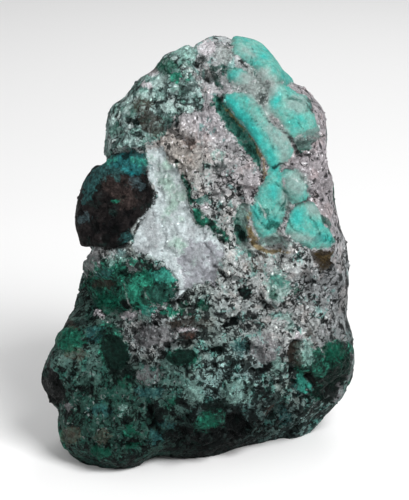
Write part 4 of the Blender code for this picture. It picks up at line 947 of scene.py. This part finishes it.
def band_distance(band, x, v):
    away = np.full(len(x), np.inf)
    for start, end in zip(band.points, band.points[1:]):
        along, far = segment_place(start[:2], end[:2], x, v)
        away = np.minimum(away, far - start[2] - along * (end[2] - start[2]))
    return away


DISTANCES = {Oval: oval_distance, Area: area_distance, Band: band_distance}


def lump_distance(lump, drawings, wander):
    """How far each point lies outside the lump, or inside it where it is negative."""
    across, up, near = drawings[lump.side]
    away = DISTANCES[type(lump.shape)](lump.shape, across, up) + LUMP_END
    away = away + wander.fine + (0.0 if lump.side == "front" else wander.coarse)
    behind = lump.back - near + LUMP_END + END_WANDER * wander.coarse
    outside = np.hypot(np.maximum(away, 0.0), np.maximum(behind, 0.0))
    return outside + np.minimum(np.maximum(away, behind), 0.0) - LUMP_END


def ball_distance(ball, points, wander):
    """The same for a ball, whose long way runs sideways along the ground and leans."""
    turn, climb = math.radians(ball.turn), math.radians(ball.climb)
    way = np.array([
        math.sin(turn) * math.cos(climb), -math.cos(turn) * math.cos(climb), math.sin(climb)])
    facing = unit(points - np.array(INSIDE)) @ way
    offset = points - points[np.argmax(facing)]
    lean = math.radians(ball.lean)
    long_way = np.array([
        math.cos(turn) * math.cos(lean), math.sin(turn) * math.cos(lean), math.sin(lean)])
    along = offset @ long_way
    across = np.linalg.norm(offset - along[:, None] * long_way, axis=1)
    return np.hypot(along / BALL_LENGTH, across) - ball.radius + wander.fine + wander.coarse


def lump_relief(points):
    """How far the lumps raise each point, the shares of broken blocks and grains that it keeps, and
    how far it lies outside each kind of lump, negative inside."""
    drawings = side_drawings(points)
    wander = Wander(*(height * noise(points, width, seed) for width, height, seed in WANDER))
    found = [(lump.kind, lump_distance(lump, drawings, wander)) for lump in LUMPS]
    found += [(ball.kind, ball_distance(ball, points, wander)) for ball in BALLS]
    raised = np.zeros(len(points))
    broken = np.ones(len(points))
    grain = np.ones(len(points))
    outside = {kind: np.full(len(points), FAR_OUTSIDE) for kind in RELIEF}
    for kind, away in found:
        relief = RELIEF[kind]
        inward = np.clip(-away / relief.edge, 0.0, 1.0)
        rise = relief.rise * np.sqrt(1.0 - (1.0 - inward) ** 2)
        cover = smooth_step(-EDGE_SOFT, EDGE_SOFT, -away)
        raised += cover * (rise - raised)
        broken += cover * (relief.broken - broken)
        grain += cover * (relief.grain - grain)
        raised -= relief.groove * np.exp(-((away / GROOVE_WIDTH) ** 2))
        for other in outside:
            if other == kind:
                outside[other] = np.minimum(outside[other], away)
            else:
                outside[other] = np.maximum(outside[other], -away)
    return raised, broken, grain, outside


def mark_distances(points):
    """How far each point lies outside the marks of each kind, negative inside."""
    across, up, near, _ = front_drawing(points)
    behind = np.maximum(FRONT_BACK - near, 0.0)
    outside = {}
    for kind, shapes in MARKS.items():
        away = np.min([DISTANCES[type(shape)](shape, across, up) for shape in shapes], axis=0)
        outside[kind] = np.clip(away + behind, -FAR_OUTSIDE, FAR_OUTSIDE)
    return outside


def ground_colour(points):
    """The matrix's own colour at each point, and its shares of black specks and blue-green stain."""
    drawings = side_drawings(points)
    width, seeds = ZONE_WAVES
    shift = [GROUND_WANDER * noise(points, width, seed) for seed in seeds]
    width, seeds = ZONE_RIPPLES
    fine = FINE_SHARE * GROUND_WANDER
    shift = [coarse + fine * noise(points, width, seed) for coarse, seed in zip(shift, seeds)]
    total = np.full(len(points), PLAIN_WEIGHT)
    colour = np.tile(PLAIN_WEIGHT * np.array(MID_GREY), (len(points), 1))
    shares = np.full((2, len(points)), PLAIN_WEIGHT * PLAIN_SHARE)
    for zone in GROUND:
        across, up, near = drawings[zone.side]
        far = np.hypot(across + shift[0] - zone.x, up + shift[1] - zone.v) / zone.size
        weight = np.exp(-(far**2)) * smooth_step(*ZONE_BACK, near)
        total += weight
        colour += weight[:, None] * np.array(zone.colour)
        shares += weight * np.array([[zone.specks], [zone.stain]])
    specks, stain = shares / total
    return colour / total[:, None], specks, stain


def stone_surface(ways, squares):
    """The stone's surface along each direction, and what each of its points is made of."""
    points = body_points(ways)
    points = draw_to_outline(points, WHOLE_SOFTEN, rim=False)
    swell = sum(height * noise(points, width, seed) for width, height, seed in SWELLS)
    points = points + outward(points, squares) * swell[:, None]
    raised, broken, grain, outside = lump_relief(points)
    marks = mark_distances(points)
    ground, specks, stain = ground_colour(points)
    left = unworn(points)
    raised += left * broken * sum(blocks(points, *block) for block in BLOCKS)
    fine = sum(blocks(points, *block) for block in GRAIN_BLOCKS)
    fine += sum(height * noise(points, width, seed) for width, height, seed in GRAIN_SWELLS)
    away = np.minimum(outside["chrysocolla"], outside["quartz"])
    smooth = 1.0 - smooth_step(-EDGE_SOFT, EDGE_SOFT, away)
    begin = PITS.begin_few + (PITS.begin_many - PITS.begin_few) * specks
    pit = (1.0 - smooth) * smooth_step(begin, begin + PITS.fade, noise(points, PITS.width, PITS.seed))
    raised += left * (grain * fine - PITS.depth * pit)
    points = points + outward(points, squares) * raised[:, None]
    for _ in range(RIM_ROUNDS):
        points = draw_to_outline(points, RIM_SOFTEN, rim=True)
    points[:, 2] = np.maximum(points[:, 2], 0.0)
    kept = {kind + "_away": away for kind, away in outside.items()}
    kept |= {kind + "_mark": away for kind, away in marks.items()}
    kept |= {"specks": specks, "stain": stain, "smooth": smooth, "pit": pit, "unworn": left}
    kept["crystal"] = np.zeros(len(points))
    return points, kept, ground


def surface_piece(name, points, faces, kept, ground, material):
    """A mesh in the stone's material, with what each of its points keeps, riding with the stone."""
    mesh = bpy.data.meshes.new(name)
    mesh.from_pydata(points * TO_METRES, [], faces.tolist())
    for attribute, values in kept.items():
        mesh.attributes.new(attribute, "FLOAT", "POINT").data.foreach_set("value", values)
    mesh.attributes.new("ground", "FLOAT_COLOR", "POINT").data.foreach_set("color", ground.ravel())
    mesh.materials.append(material)
    piece = bpy.data.objects.new(name, mesh)
    bpy.context.scene.collection.objects.link(piece)
    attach(piece, "root")
    return piece


def twenty_sided():
    """The corners and sides of a small ball with twenty flat sides."""
    ball = bmesh.new()
    bmesh.ops.create_icosphere(ball, subdivisions=1, radius=1.0)
    corners = np.array([vertex.co for vertex in ball.verts])
    sides = np.array([[vertex.index for vertex in face.verts] for face in ball.faces])
    ball.free()
    return corners, sides


def random_turns(rng, count):
    """Rotation matrices that turn things every way."""
    w, x, y, z = unit(rng.normal(size=(count, 4))).T
    rows = [
        (1 - 2 * (y * y + z * z), 2 * (x * y - w * z), 2 * (x * z + w * y)),
        (2 * (x * y + w * z), 1 - 2 * (x * x + z * z), 2 * (y * z - w * x)),
        (2 * (x * z - w * y), 2 * (y * z + w * x), 1 - 2 * (x * x + y * y))]
    return np.moveaxis(np.array(rows), 2, 0)


def crystal_piece(name, seed, points, squares, kept, ground, material):
    """Small rough crystals on the stone's surface, each with what the point that it stands on keeps."""
    rng = np.random.default_rng(seed)
    facing = spread(points, squares)
    chance = np.linalg.norm(facing, axis=1) * (1.0 - kept["pit"]) * kept["unworn"]
    for kind, share in CRYSTAL_SHARES.items():
        chance *= np.where(kept[kind + "_away"] < 0.0, share, 1.0)
    homes = rng.choice(len(points), CRYSTALS, replace=False, p=chance / chance.sum())
    corners, sides = twenty_sided()
    size = CRYSTAL_SIZE[0] * rng.lognormal(0.0, CRYSTAL_SIZE[1], (CRYSTALS, 1, 1))
    rough = corners * rng.uniform(*CRYSTAL_CORNERS, (CRYSTALS, len(corners), 1))
    rough = size * rough * rng.uniform(*CRYSTAL_LENGTHS, (CRYSTALS, 1, 3))
    rough = np.einsum("nij,nkj->nki", random_turns(rng, CRYSTALS), rough)
    rough += points[homes][:, None] - CRYSTAL_SINK * size * unit(facing[homes])[:, None]
    rough = rough.reshape(-1, 3)
    rough[:, 2] = np.maximum(rough[:, 2], 0.0)
    faces = (sides + len(corners) * np.arange(CRYSTALS)[:, None, None]).reshape(-1, 3)
    home_kept = {attribute: np.repeat(values[homes], len(corners)) for attribute, values in kept.items()}
    tones = rng.normal(0.0, CRYSTAL_TONES, CRYSTALS)
    tones = np.clip(tones, -CRYSTAL_TONE_LIMIT, CRYSTAL_TONE_LIMIT)
    home_kept["crystal"] = np.repeat(tones, len(corners))
    home_ground = np.repeat(ground[homes], len(corners), axis=0)
    surface_piece(name, rough, faces, home_kept, home_ground, material)


def stone_pieces():
    """The stone and its crystals. Gives back the middle that they were moved by."""
    cube_ways, squares = direction_cube(CELLS)
    points, kept, ground = stone_surface(unit(cube_ways * np.array(STRETCH)), squares)
    middle = (points.max(axis=0) + points.min(axis=0)) / 2
    points[:, :2] -= middle[:2]
    material = stone_material()
    stone = surface_piece("malachite_stone", points, squares, kept, ground, material)
    stone.data.shade_smooth()
    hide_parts("stone")
    for number in range(1, CRYSTAL_PIECES + 1):
        name = f"crystals_{number}"
        crystal_piece(name, CRYSTAL_SEED + number, points, squares, kept, ground, material)
    return middle


class Sheet:
    """One material's nodes. Each method adds a node and gives back what it puts out."""

    def __init__(self, name):
        self.material = bpy.data.materials.new(name)
        self.material.use_nodes = True
        self.tree = self.material.node_tree
        self.shader = self.tree.nodes["Principled BSDF"]
        coordinates = self.tree.nodes.new("ShaderNodeTexCoord")
        self.place = self.vector("SCALE", coordinates.outputs["Object"], scale=1 / TO_METRES)

    def put(self, socket, value):
        if isinstance(value, bpy.types.NodeSocket):
            self.tree.links.new(value, socket)
        else:
            socket.default_value = value

    def vector(self, operation, first, second=None, scale=None):
        node = self.tree.nodes.new("ShaderNodeVectorMath")
        node.operation = operation
        self.put(node.inputs[0], first)
        if second is not None:
            self.put(node.inputs[1], second)
        if scale is not None:
            self.put(node.inputs["Scale"], scale)
        return node.outputs[0]

    def math(self, operation, first, second=0.0, third=0.0):
        node = self.tree.nodes.new("ShaderNodeMath")
        node.operation = operation
        for socket, value in zip(node.inputs, (first, second, third)):
            self.put(socket, value)
        return node.outputs[0]

    def kept(self, name, output="Fac"):
        node = self.tree.nodes.new("ShaderNodeAttribute")
        node.attribute_name = name
        return node.outputs[output]

    def noise(self, width, detail=3.0, rough=0.55, seed=0.0, output="Fac", twist=0.0):
        node = self.tree.nodes.new("ShaderNodeTexNoise")
        node.noise_dimensions = "4D"
        self.put(node.inputs["Vector"], self.place)
        node.inputs["W"].default_value = SEED_STEP * seed
        node.inputs["Scale"].default_value = 1 / width
        node.inputs["Detail"].default_value = detail
        node.inputs["Roughness"].default_value = rough
        node.inputs["Distortion"].default_value = twist
        return node.outputs[output]

    def cells(self, width, place, feature="F1"):
        node = self.tree.nodes.new("ShaderNodeTexVoronoi")
        node.feature = feature
        self.put(node.inputs["Vector"], place)
        node.inputs["Scale"].default_value = 1 / width
        return node.outputs

    def step(self, value, low, high, to_low=0.0, to_high=1.0):
        node = self.tree.nodes.new("ShaderNodeMapRange")
        node.interpolation_type = "SMOOTHSTEP"
        for name, one in zip(("Value", "From Min", "From Max", "To Min", "To Max"),
                             (value, low, high, to_low, to_high)):
            self.put(node.inputs[name], one)
        return node.outputs["Result"]

    def mix(self, share, first, second, blend="MIX"):
        node = self.tree.nodes.new("ShaderNodeMix")
        node.data_type = "RGBA"
        node.blend_type = blend
        self.put(node.inputs[0], share)
        self.put(node.inputs[6], first)
        self.put(node.inputs[7], second)
        return node.outputs[2]

    def blend(self, share, first, second):
        node = self.tree.nodes.new("ShaderNodeMix")
        self.put(node.inputs[0], share)
        self.put(node.inputs[2], first)
        self.put(node.inputs[3], second)
        return node.outputs[0]

    def inside(self, name, fray, frayed, edge=CRISP_EDGE):
        """1 inside a kind of lump or mark, 0 outside it, with an edge that frays by that much."""
        away = self.math("MULTIPLY_ADD", fray, frayed, self.kept(name))
        return self.step(away, edge, -edge)

    def ramp(self, value, stops):
        node = self.tree.nodes.new("ShaderNodeValToRGB")
        self.put(node.inputs[0], value)
        elements = node.color_ramp.elements
        while len(elements) < len(stops):
            elements.new(0.5)
        for element, (place, colour) in zip(elements, stops):
            element.position = place
            element.color = colour
        return node.outputs[0]

    def bump(self, height, distance):
        node = self.tree.nodes.new("ShaderNodeBump")
        self.put(node.inputs["Height"], height)
        node.inputs["Distance"].default_value = distance * TO_METRES
        return node.outputs[0]


# Patterns that all the looks share. The random ones give one number for each coarse or small grain,
# the away ones how far its middle is, and the edge one how far its edge is.
Shared = namedtuple("Shared", [
    "grain", "blot", "crevice", "fray", "random_coarse", "random_small", "coarse_edge",
    "coarse_away", "small_away"])

# How much the fine grain brightens each look from its darkest to its brightest, and where that
# begins, in stops
GRAIN_STOPS = {
    "matrix": (5.6, -2.85), "mottled": (7.0, -3.35), "boulder": (9.0, -4.6), "quartz": (3.6, -1.85),
    "malachite": (8.0, -3.9), "hollow": (6.0, -2.8), "black": (6.0, -3.0), "chrysocolla": (3.4, -1.7)}


def grain_stops(sheet, shared, kind):
    return sheet.math("MULTIPLY_ADD", shared.grain, *GRAIN_STOPS[kind])


def matrix_look(sheet, shared):
    """Pale grains, stained blue-green in clouds, with dark crevices between them."""
    colour = sheet.kept("ground", "Color")
    level = sheet.math("MULTIPLY_ADD", sheet.kept("stain"), -0.30, 0.66)
    cloudy = sheet.math("SUBTRACT", sheet.noise(2.8, 5.0, 0.72, seed=4.0), level)
    cloudy = sheet.step(cloudy, -0.03, 0.05)
    colour = sheet.mix(cloudy, colour, TEAL_STAIN, "MULTIPLY")
    warm = sheet.step(sheet.noise(3.0, 4.0, 0.6, seed=5.0), 0.52, 0.62)
    colour = sheet.mix(warm, colour, WARM_TINT, "MULTIPLY")
    # white grains: pale quartz specks that also stand in as painted glints
    pale = sheet.step(sheet.kept("specks"), 0.62, 0.2)
    pale = sheet.math("MULTIPLY", pale, sheet.step(shared.random_small, 0.80, 0.9))
    colour = sheet.mix(pale, colour, WHITE_GRAIN)
    level = sheet.math("MULTIPLY_ADD", sheet.kept("specks"), -0.25, 0.665)
    open_by = sheet.math("SUBTRACT", shared.crevice, level)
    colour = sheet.mix(sheet.step(open_by, -0.015, 0.025, 0.0, 0.9), colour, CREVICE)
    cracked = sheet.step(sheet.noise(2.4, 4.0, 0.6, seed=17.0), 0.50, 0.56)
    cracked = sheet.math("MULTIPLY", cracked, sheet.step(sheet.kept("specks"), 0.25, 0.5))
    cracked = sheet.math("MULTIPLY", cracked, sheet.step(shared.coarse_edge, 0.12, 0.05, 0.0, 0.9))
    colour = sheet.mix(cracked, colour, CREVICE)
    stops = grain_stops(sheet, shared, "matrix")
    stops = sheet.math("MULTIPLY_ADD", sheet.math("SUBTRACT", shared.blot, 0.5), 2.0, stops)
    return colour, stops


def mottled_look(sheet, shared):
    """Grey-green clouds with pale grains, some of them with dark rims."""
    cloudy = sheet.noise(2.6, 6.0, 0.72, seed=15.0)
    colour = sheet.ramp(cloudy, [
        (0.36, MOTTLE_DARK), (0.46, MOTTLE_MID), (0.58, MOTTLE_LIGHT), (0.70, MOTTLE_PALE)])
    grains = sheet.ramp(shared.random_coarse, [
        (0.0, MOTTLE_DARK), (0.3, MOTTLE_MID), (0.62, MOTTLE_LIGHT), (0.9, MOTTLE_PALE)])
    grainy = sheet.step(sheet.noise(3.4, 4.0, 0.6, seed=16.0), 0.44, 0.54)
    colour = sheet.mix(sheet.math("MULTIPLY", grainy, 0.8), colour, grains)
    cloudy = sheet.step(sheet.noise(2.4, 5.0, 0.65, seed=6.0), 0.50, 0.58)
    colour = sheet.mix(sheet.math("MULTIPLY", cloudy, 0.4), colour, MALACHITE_GREEN)
    rims = sheet.step(shared.coarse_edge, 0.17, 0.05, 0.0, 0.85)
    colour = sheet.mix(sheet.math("MULTIPLY", rims, grainy), colour, CREVICE)
    dark = sheet.step(shared.crevice, 0.56, 0.61, 0.0, 0.9)
    colour = sheet.mix(dark, colour, CREVICE)
    return colour, grain_stops(sheet, shared, "mottled")


def boulder_look(sheet, shared):
    """Black-brown, clouded with a little teal."""
    colour = sheet.ramp(shared.blot, [
        (0.40, BOULDER_BLACK), (0.54, BOULDER_BROWN), (0.62, BOULDER_BROWN), (0.74, BOULDER_GREY)])
    cloudy = sheet.step(sheet.noise(3.2, 5.0, 0.66, seed=7.0), 0.53, 0.62, 0.0, 0.35)
    colour = sheet.mix(cloudy, colour, BOULDER_TEAL)
    return colour, grain_stops(sheet, shared, "boulder")


def quartz_look(sheet, shared):
    """Pale sugary quartz, greener and greyer in places, with white grains."""
    cloudy = sheet.noise(6.0, 4.0, 0.6, seed=8.0)
    colour = sheet.ramp(cloudy, [
        (0.38, QUARTZ_GREEN), (0.47, QUARTZ_GREY), (0.54, QUARTZ_WHITE), (0.64, QUARTZ_LILAC)])
    white = sheet.step(shared.random_small, 0.78, 0.95, 0.0, 0.35)
    colour = sheet.mix(white, colour, WHITE_GRAIN)
    dark = sheet.step(shared.crevice, 0.62, 0.68, 0.0, 0.45)
    colour = sheet.mix(dark, colour, GREEN_GREY)
    return colour, grain_stops(sheet, shared, "quartz")


def malachite_look(sheet, shared):
    """Dark grey-green to black, with brighter streaks."""
    streak = sheet.noise(2.0, 6.0, 0.7, seed=9.0, twist=1.0)
    colour = sheet.ramp(streak, [
        (0.38, MALACHITE_BLACK), (0.50, MALACHITE_DARK), (0.58, MALACHITE_GREEN),
        (0.72, MALACHITE_BRIGHT)])
    colour = sheet.mix(sheet.step(shared.crevice, 0.52, 0.58, 0.0, 0.7), colour, CREVICE)
    return colour, grain_stops(sheet, shared, "malachite")


def hollow_look(sheet, shared):
    """The dark green floors of the recesses, greyer in places."""
    streak = sheet.noise(1.5, 5.0, 0.65, seed=10.0, twist=0.8)
    colour = sheet.ramp(streak, [(0.40, HOLLOW_DARK), (0.52, HOLLOW_GREEN), (0.66, HOLLOW_GREY)])
    return colour, grain_stops(sheet, shared, "hollow")


def black_look(sheet, shared):
    """Nearly black, clouded with dark teal."""
    colour = sheet.mix(sheet.step(shared.blot, 0.5, 0.66), PIT_BLACK, NIGHT_TEAL)
    return colour, grain_stops(sheet, shared, "black")


def chrysocolla_look(sheet, shared):
    """Blue-green, smooth, greyer along its edges and in thin veils."""
    tint = sheet.math("MULTIPLY_ADD", sheet.noise(3.0, 5.0, 0.62, seed=11.0, twist=0.5), 1.8, -0.4)
    colour = sheet.ramp(tint, [
        (0.05, CHRYSO_DEEP), (0.32, CHRYSO_BRIGHT), (0.55, CHRYSO_GREEN), (0.85, CHRYSO_PALE)])
    veil = sheet.step(sheet.noise(1.7, 6.0, 0.72, seed=12.0, twist=0.6), 0.46, 0.70, 0.0, 0.5)
    colour = sheet.mix(veil, colour, CHRYSO_FROST)
    ragged = sheet.math("ADD", sheet.kept("chrysocolla_away"), shared.fray)
    colour = sheet.mix(sheet.step(ragged, -1.1, 0.3, 0.0, 0.6), colour, HOLLOW_GREY)
    colour = sheet.mix(sheet.step(shared.crevice, 0.66, 0.70, 0.0, 0.6), colour, HOLLOW_DARK)
    return colour, grain_stops(sheet, shared, "chrysocolla")


# Each kind of lump: its look, and how much its edge frays
LOOKS = {
    "mottled": (mottled_look, 1.0),
    "boulder": (boulder_look, 0.5),
    "quartz": (quartz_look, 0.7),
    "malachite": (malachite_look, 1.0),
    "black": (black_look, 0.8),
    "hollow": (hollow_look, 0.6),
    "chrysocolla": (chrysocolla_look, 0.55),
}


def shared_patterns(sheet):
    """The patterns of the whole stone, with rows of grains that noise bends."""
    bend = sheet.vector("SCALE", sheet.noise(1.1, 3.0, output="Color"), scale=GRAIN_BEND)
    place = sheet.vector("ADD", sheet.place, bend)
    coarse = sheet.cells(COARSE_GRAIN, place)
    small = sheet.cells(SMALL_GRAIN, place)
    return Shared(
        grain=sheet.noise(0.8, 5.0, 0.78),
        blot=sheet.noise(2.6, 4.0, 0.62, seed=1.0),
        crevice=sheet.noise(1.5, 5.0, 0.68, seed=13.0, twist=0.5),
        fray=sheet.math("MULTIPLY_ADD", sheet.noise(1.4, 6.0, 0.74, seed=2.0), 6.0, -3.0),
        random_coarse=sheet.math("MULTIPLY", coarse["Color"], 1.0),
        random_small=sheet.math("MULTIPLY", small["Color"], 1.0),
        coarse_edge=sheet.cells(COARSE_GRAIN, place, "DISTANCE_TO_EDGE")["Distance"],
        coarse_away=coarse["Distance"],
        small_away=small["Distance"])


def with_lumps(sheet, shared):
    """The matrix's colour and stops of brightness, with those of each kind of lump over them."""
    colour, stops = matrix_look(sheet, shared)
    for kind, (look, frayed) in LOOKS.items():
        share = sheet.inside(kind + "_away", shared.fray, frayed)
        kind_colour, kind_stops = look(sheet, shared)
        colour = sheet.mix(share, colour, kind_colour)
        stops = sheet.blend(share, stops, kind_stops)
    return colour, stops


def with_marks(sheet, shared, colour):
    """The colour with each kind of mark over it."""
    patchy = sheet.step(sheet.noise(1.6, 6.0, 0.72, seed=3.0), *PATCHES)
    for kind, look in MARK_LOOKS.items():
        soft = SOFT_EDGE if kind in SOFT_MARKS else CRISP_EDGE
        share = sheet.inside(kind + "_mark", shared.fray, look.fray, soft)
        share = sheet.math("MULTIPLY", share, look.cover)
        if kind not in WHOLE_MARKS:
            share = sheet.math("MULTIPLY", share, patchy)
        colour = sheet.mix(share, colour, look.colour)
    return colour


def small_pits(sheet):
    """Where the small black pits are, mostly in the matrix."""
    level = sheet.math("MULTIPLY_ADD", sheet.kept("specks"), -0.14, 0.72)
    pitted = sheet.noise(0.8, 3.0, 0.6, seed=14.0, twist=0.6)
    pits = sheet.step(sheet.math("SUBTRACT", pitted, level), 0.0, 0.03)
    smooth = sheet.step(sheet.kept("smooth"), 0.0, 1.0, 1.0, 0.0)
    return sheet.math("MULTIPLY", pits, smooth)


def fine_relief(sheet, shared, pits):
    """The relief of grains and pits, fainter on the smooth kinds of lump."""
    height = sheet.math("MULTIPLY", shared.grain, 2.0)
    height = sheet.math("MULTIPLY_ADD", shared.coarse_away, -0.5, height)
    height = sheet.math("MULTIPLY_ADD", shared.small_away, -0.35, height)
    height = sheet.math("MULTIPLY_ADD", pits, -0.8, height)
    height = sheet.math("MULTIPLY", height, sheet.step(sheet.kept("smooth"), 0.0, 1.0, 1.0, 0.35))
    return sheet.bump(height, GRAIN_RELIEF)


def stone_material():
    """Every kind of ground, lump and mark in one material, which reads what the mesh keeps."""
    sheet = Sheet("malachite breccia")
    shared = shared_patterns(sheet)
    colour, stops = with_lumps(sheet, shared)
    colour = with_marks(sheet, shared, colour)
    pits = small_pits(sheet)
    colour = sheet.mix(pits, colour, PIT_BLACK)
    # the sunken pits darkened to near black: painted shade in those recesses
    colour = sheet.mix(sheet.step(sheet.kept("pit"), 0.1, 0.8, 0.0, 0.85), colour, CREVICE)
    stops = sheet.math("ADD", stops, sheet.kept("crystal"))
    brighter = sheet.math("POWER", 2.0, stops)
    rough = sheet.step(shared.random_small, 0.0, 1.0, *ROUGHNESS)
    sheet.put(sheet.shader.inputs["Base Color"], sheet.vector("SCALE", colour, scale=brighter))
    sheet.put(sheet.shader.inputs["Roughness"], rough)
    sheet.put(sheet.shader.inputs["Normal"], fine_relief(sheet, shared, pits))
    sheet.shader.inputs["Specular IOR Level"].default_value = SHEEN
    return sheet.material


def floor_piece():
    """A wide pale floor."""
    mesh = bpy.data.meshes.new("floor")
    sides = [(-1, -1), (1, -1), (1, 1), (-1, 1)]
    mesh.from_pydata([(x * FLOOR_HALF, y * FLOOR_HALF, 0.0) for x, y in sides], [], [(0, 1, 2, 3)])
    floor = bpy.data.objects.new("floor", mesh)
    bpy.context.scene.collection.objects.link(floor)
    material = bpy.data.materials.new("pale floor")
    material.use_nodes = True
    shader = material.node_tree.nodes["Principled BSDF"]
    shader.inputs["Base Color"].default_value = FLOOR_PALE
    shader.inputs["Roughness"].default_value = FLOOR_ROUGHNESS
    mesh.materials.append(material)


def area_light(lamp):
    light = bpy.data.lights.new(lamp.name, "AREA")
    light.size = lamp.size
    light.energy = lamp.power
    holder = bpy.data.objects.new(lamp.name, light)
    holder.location = lamp.place
    facing = Vector(LIGHT_AIM) - Vector(lamp.place)
    holder.rotation_euler = facing.to_track_quat("-Z", "Y").to_euler()
    bpy.context.scene.collection.objects.link(holder)


def studio():
    """Soft light from the upper right in front, a weaker fill from the left and a pale surround."""
    world = bpy.data.worlds.new("pale surround")
    world.use_nodes = True
    background = world.node_tree.nodes["Background"]
    background.inputs["Color"].default_value = WHITE
    background.inputs["Strength"].default_value = SURROUND
    bpy.context.scene.world = world
    for lamp in LAMPS:
        area_light(lamp)
    bpy.context.scene.view_settings.view_transform = "Standard"


def photo_camera(middle):
    """The camera of the front drawing, in front and a little above."""
    aim = np.array(VIEW_AIM)
    aim[:2] -= middle[:2]
    away = np.array([0.0, -math.cos(VIEW_RISE), math.sin(VIEW_RISE)])
    camera = bpy.data.cameras.new("camera")
    camera.sensor_width = WIDEST_SENSOR
    camera.lens = WIDEST_SENSOR * FOCAL_PIXELS / PHOTO_HEIGHT
    camera.clip_start = NEAREST_SEEN
    holder = bpy.data.objects.new("camera", camera)
    holder.location = (aim + VIEW_AWAY * away) * TO_METRES
    holder.rotation_euler = Vector(-away).to_track_quat("-Z", "Y").to_euler()
    bpy.context.scene.collection.objects.link(holder)
    bpy.context.scene.camera = holder


stone_middle = stone_pieces()
floor_piece()
studio()
photo_camera(stone_middle)
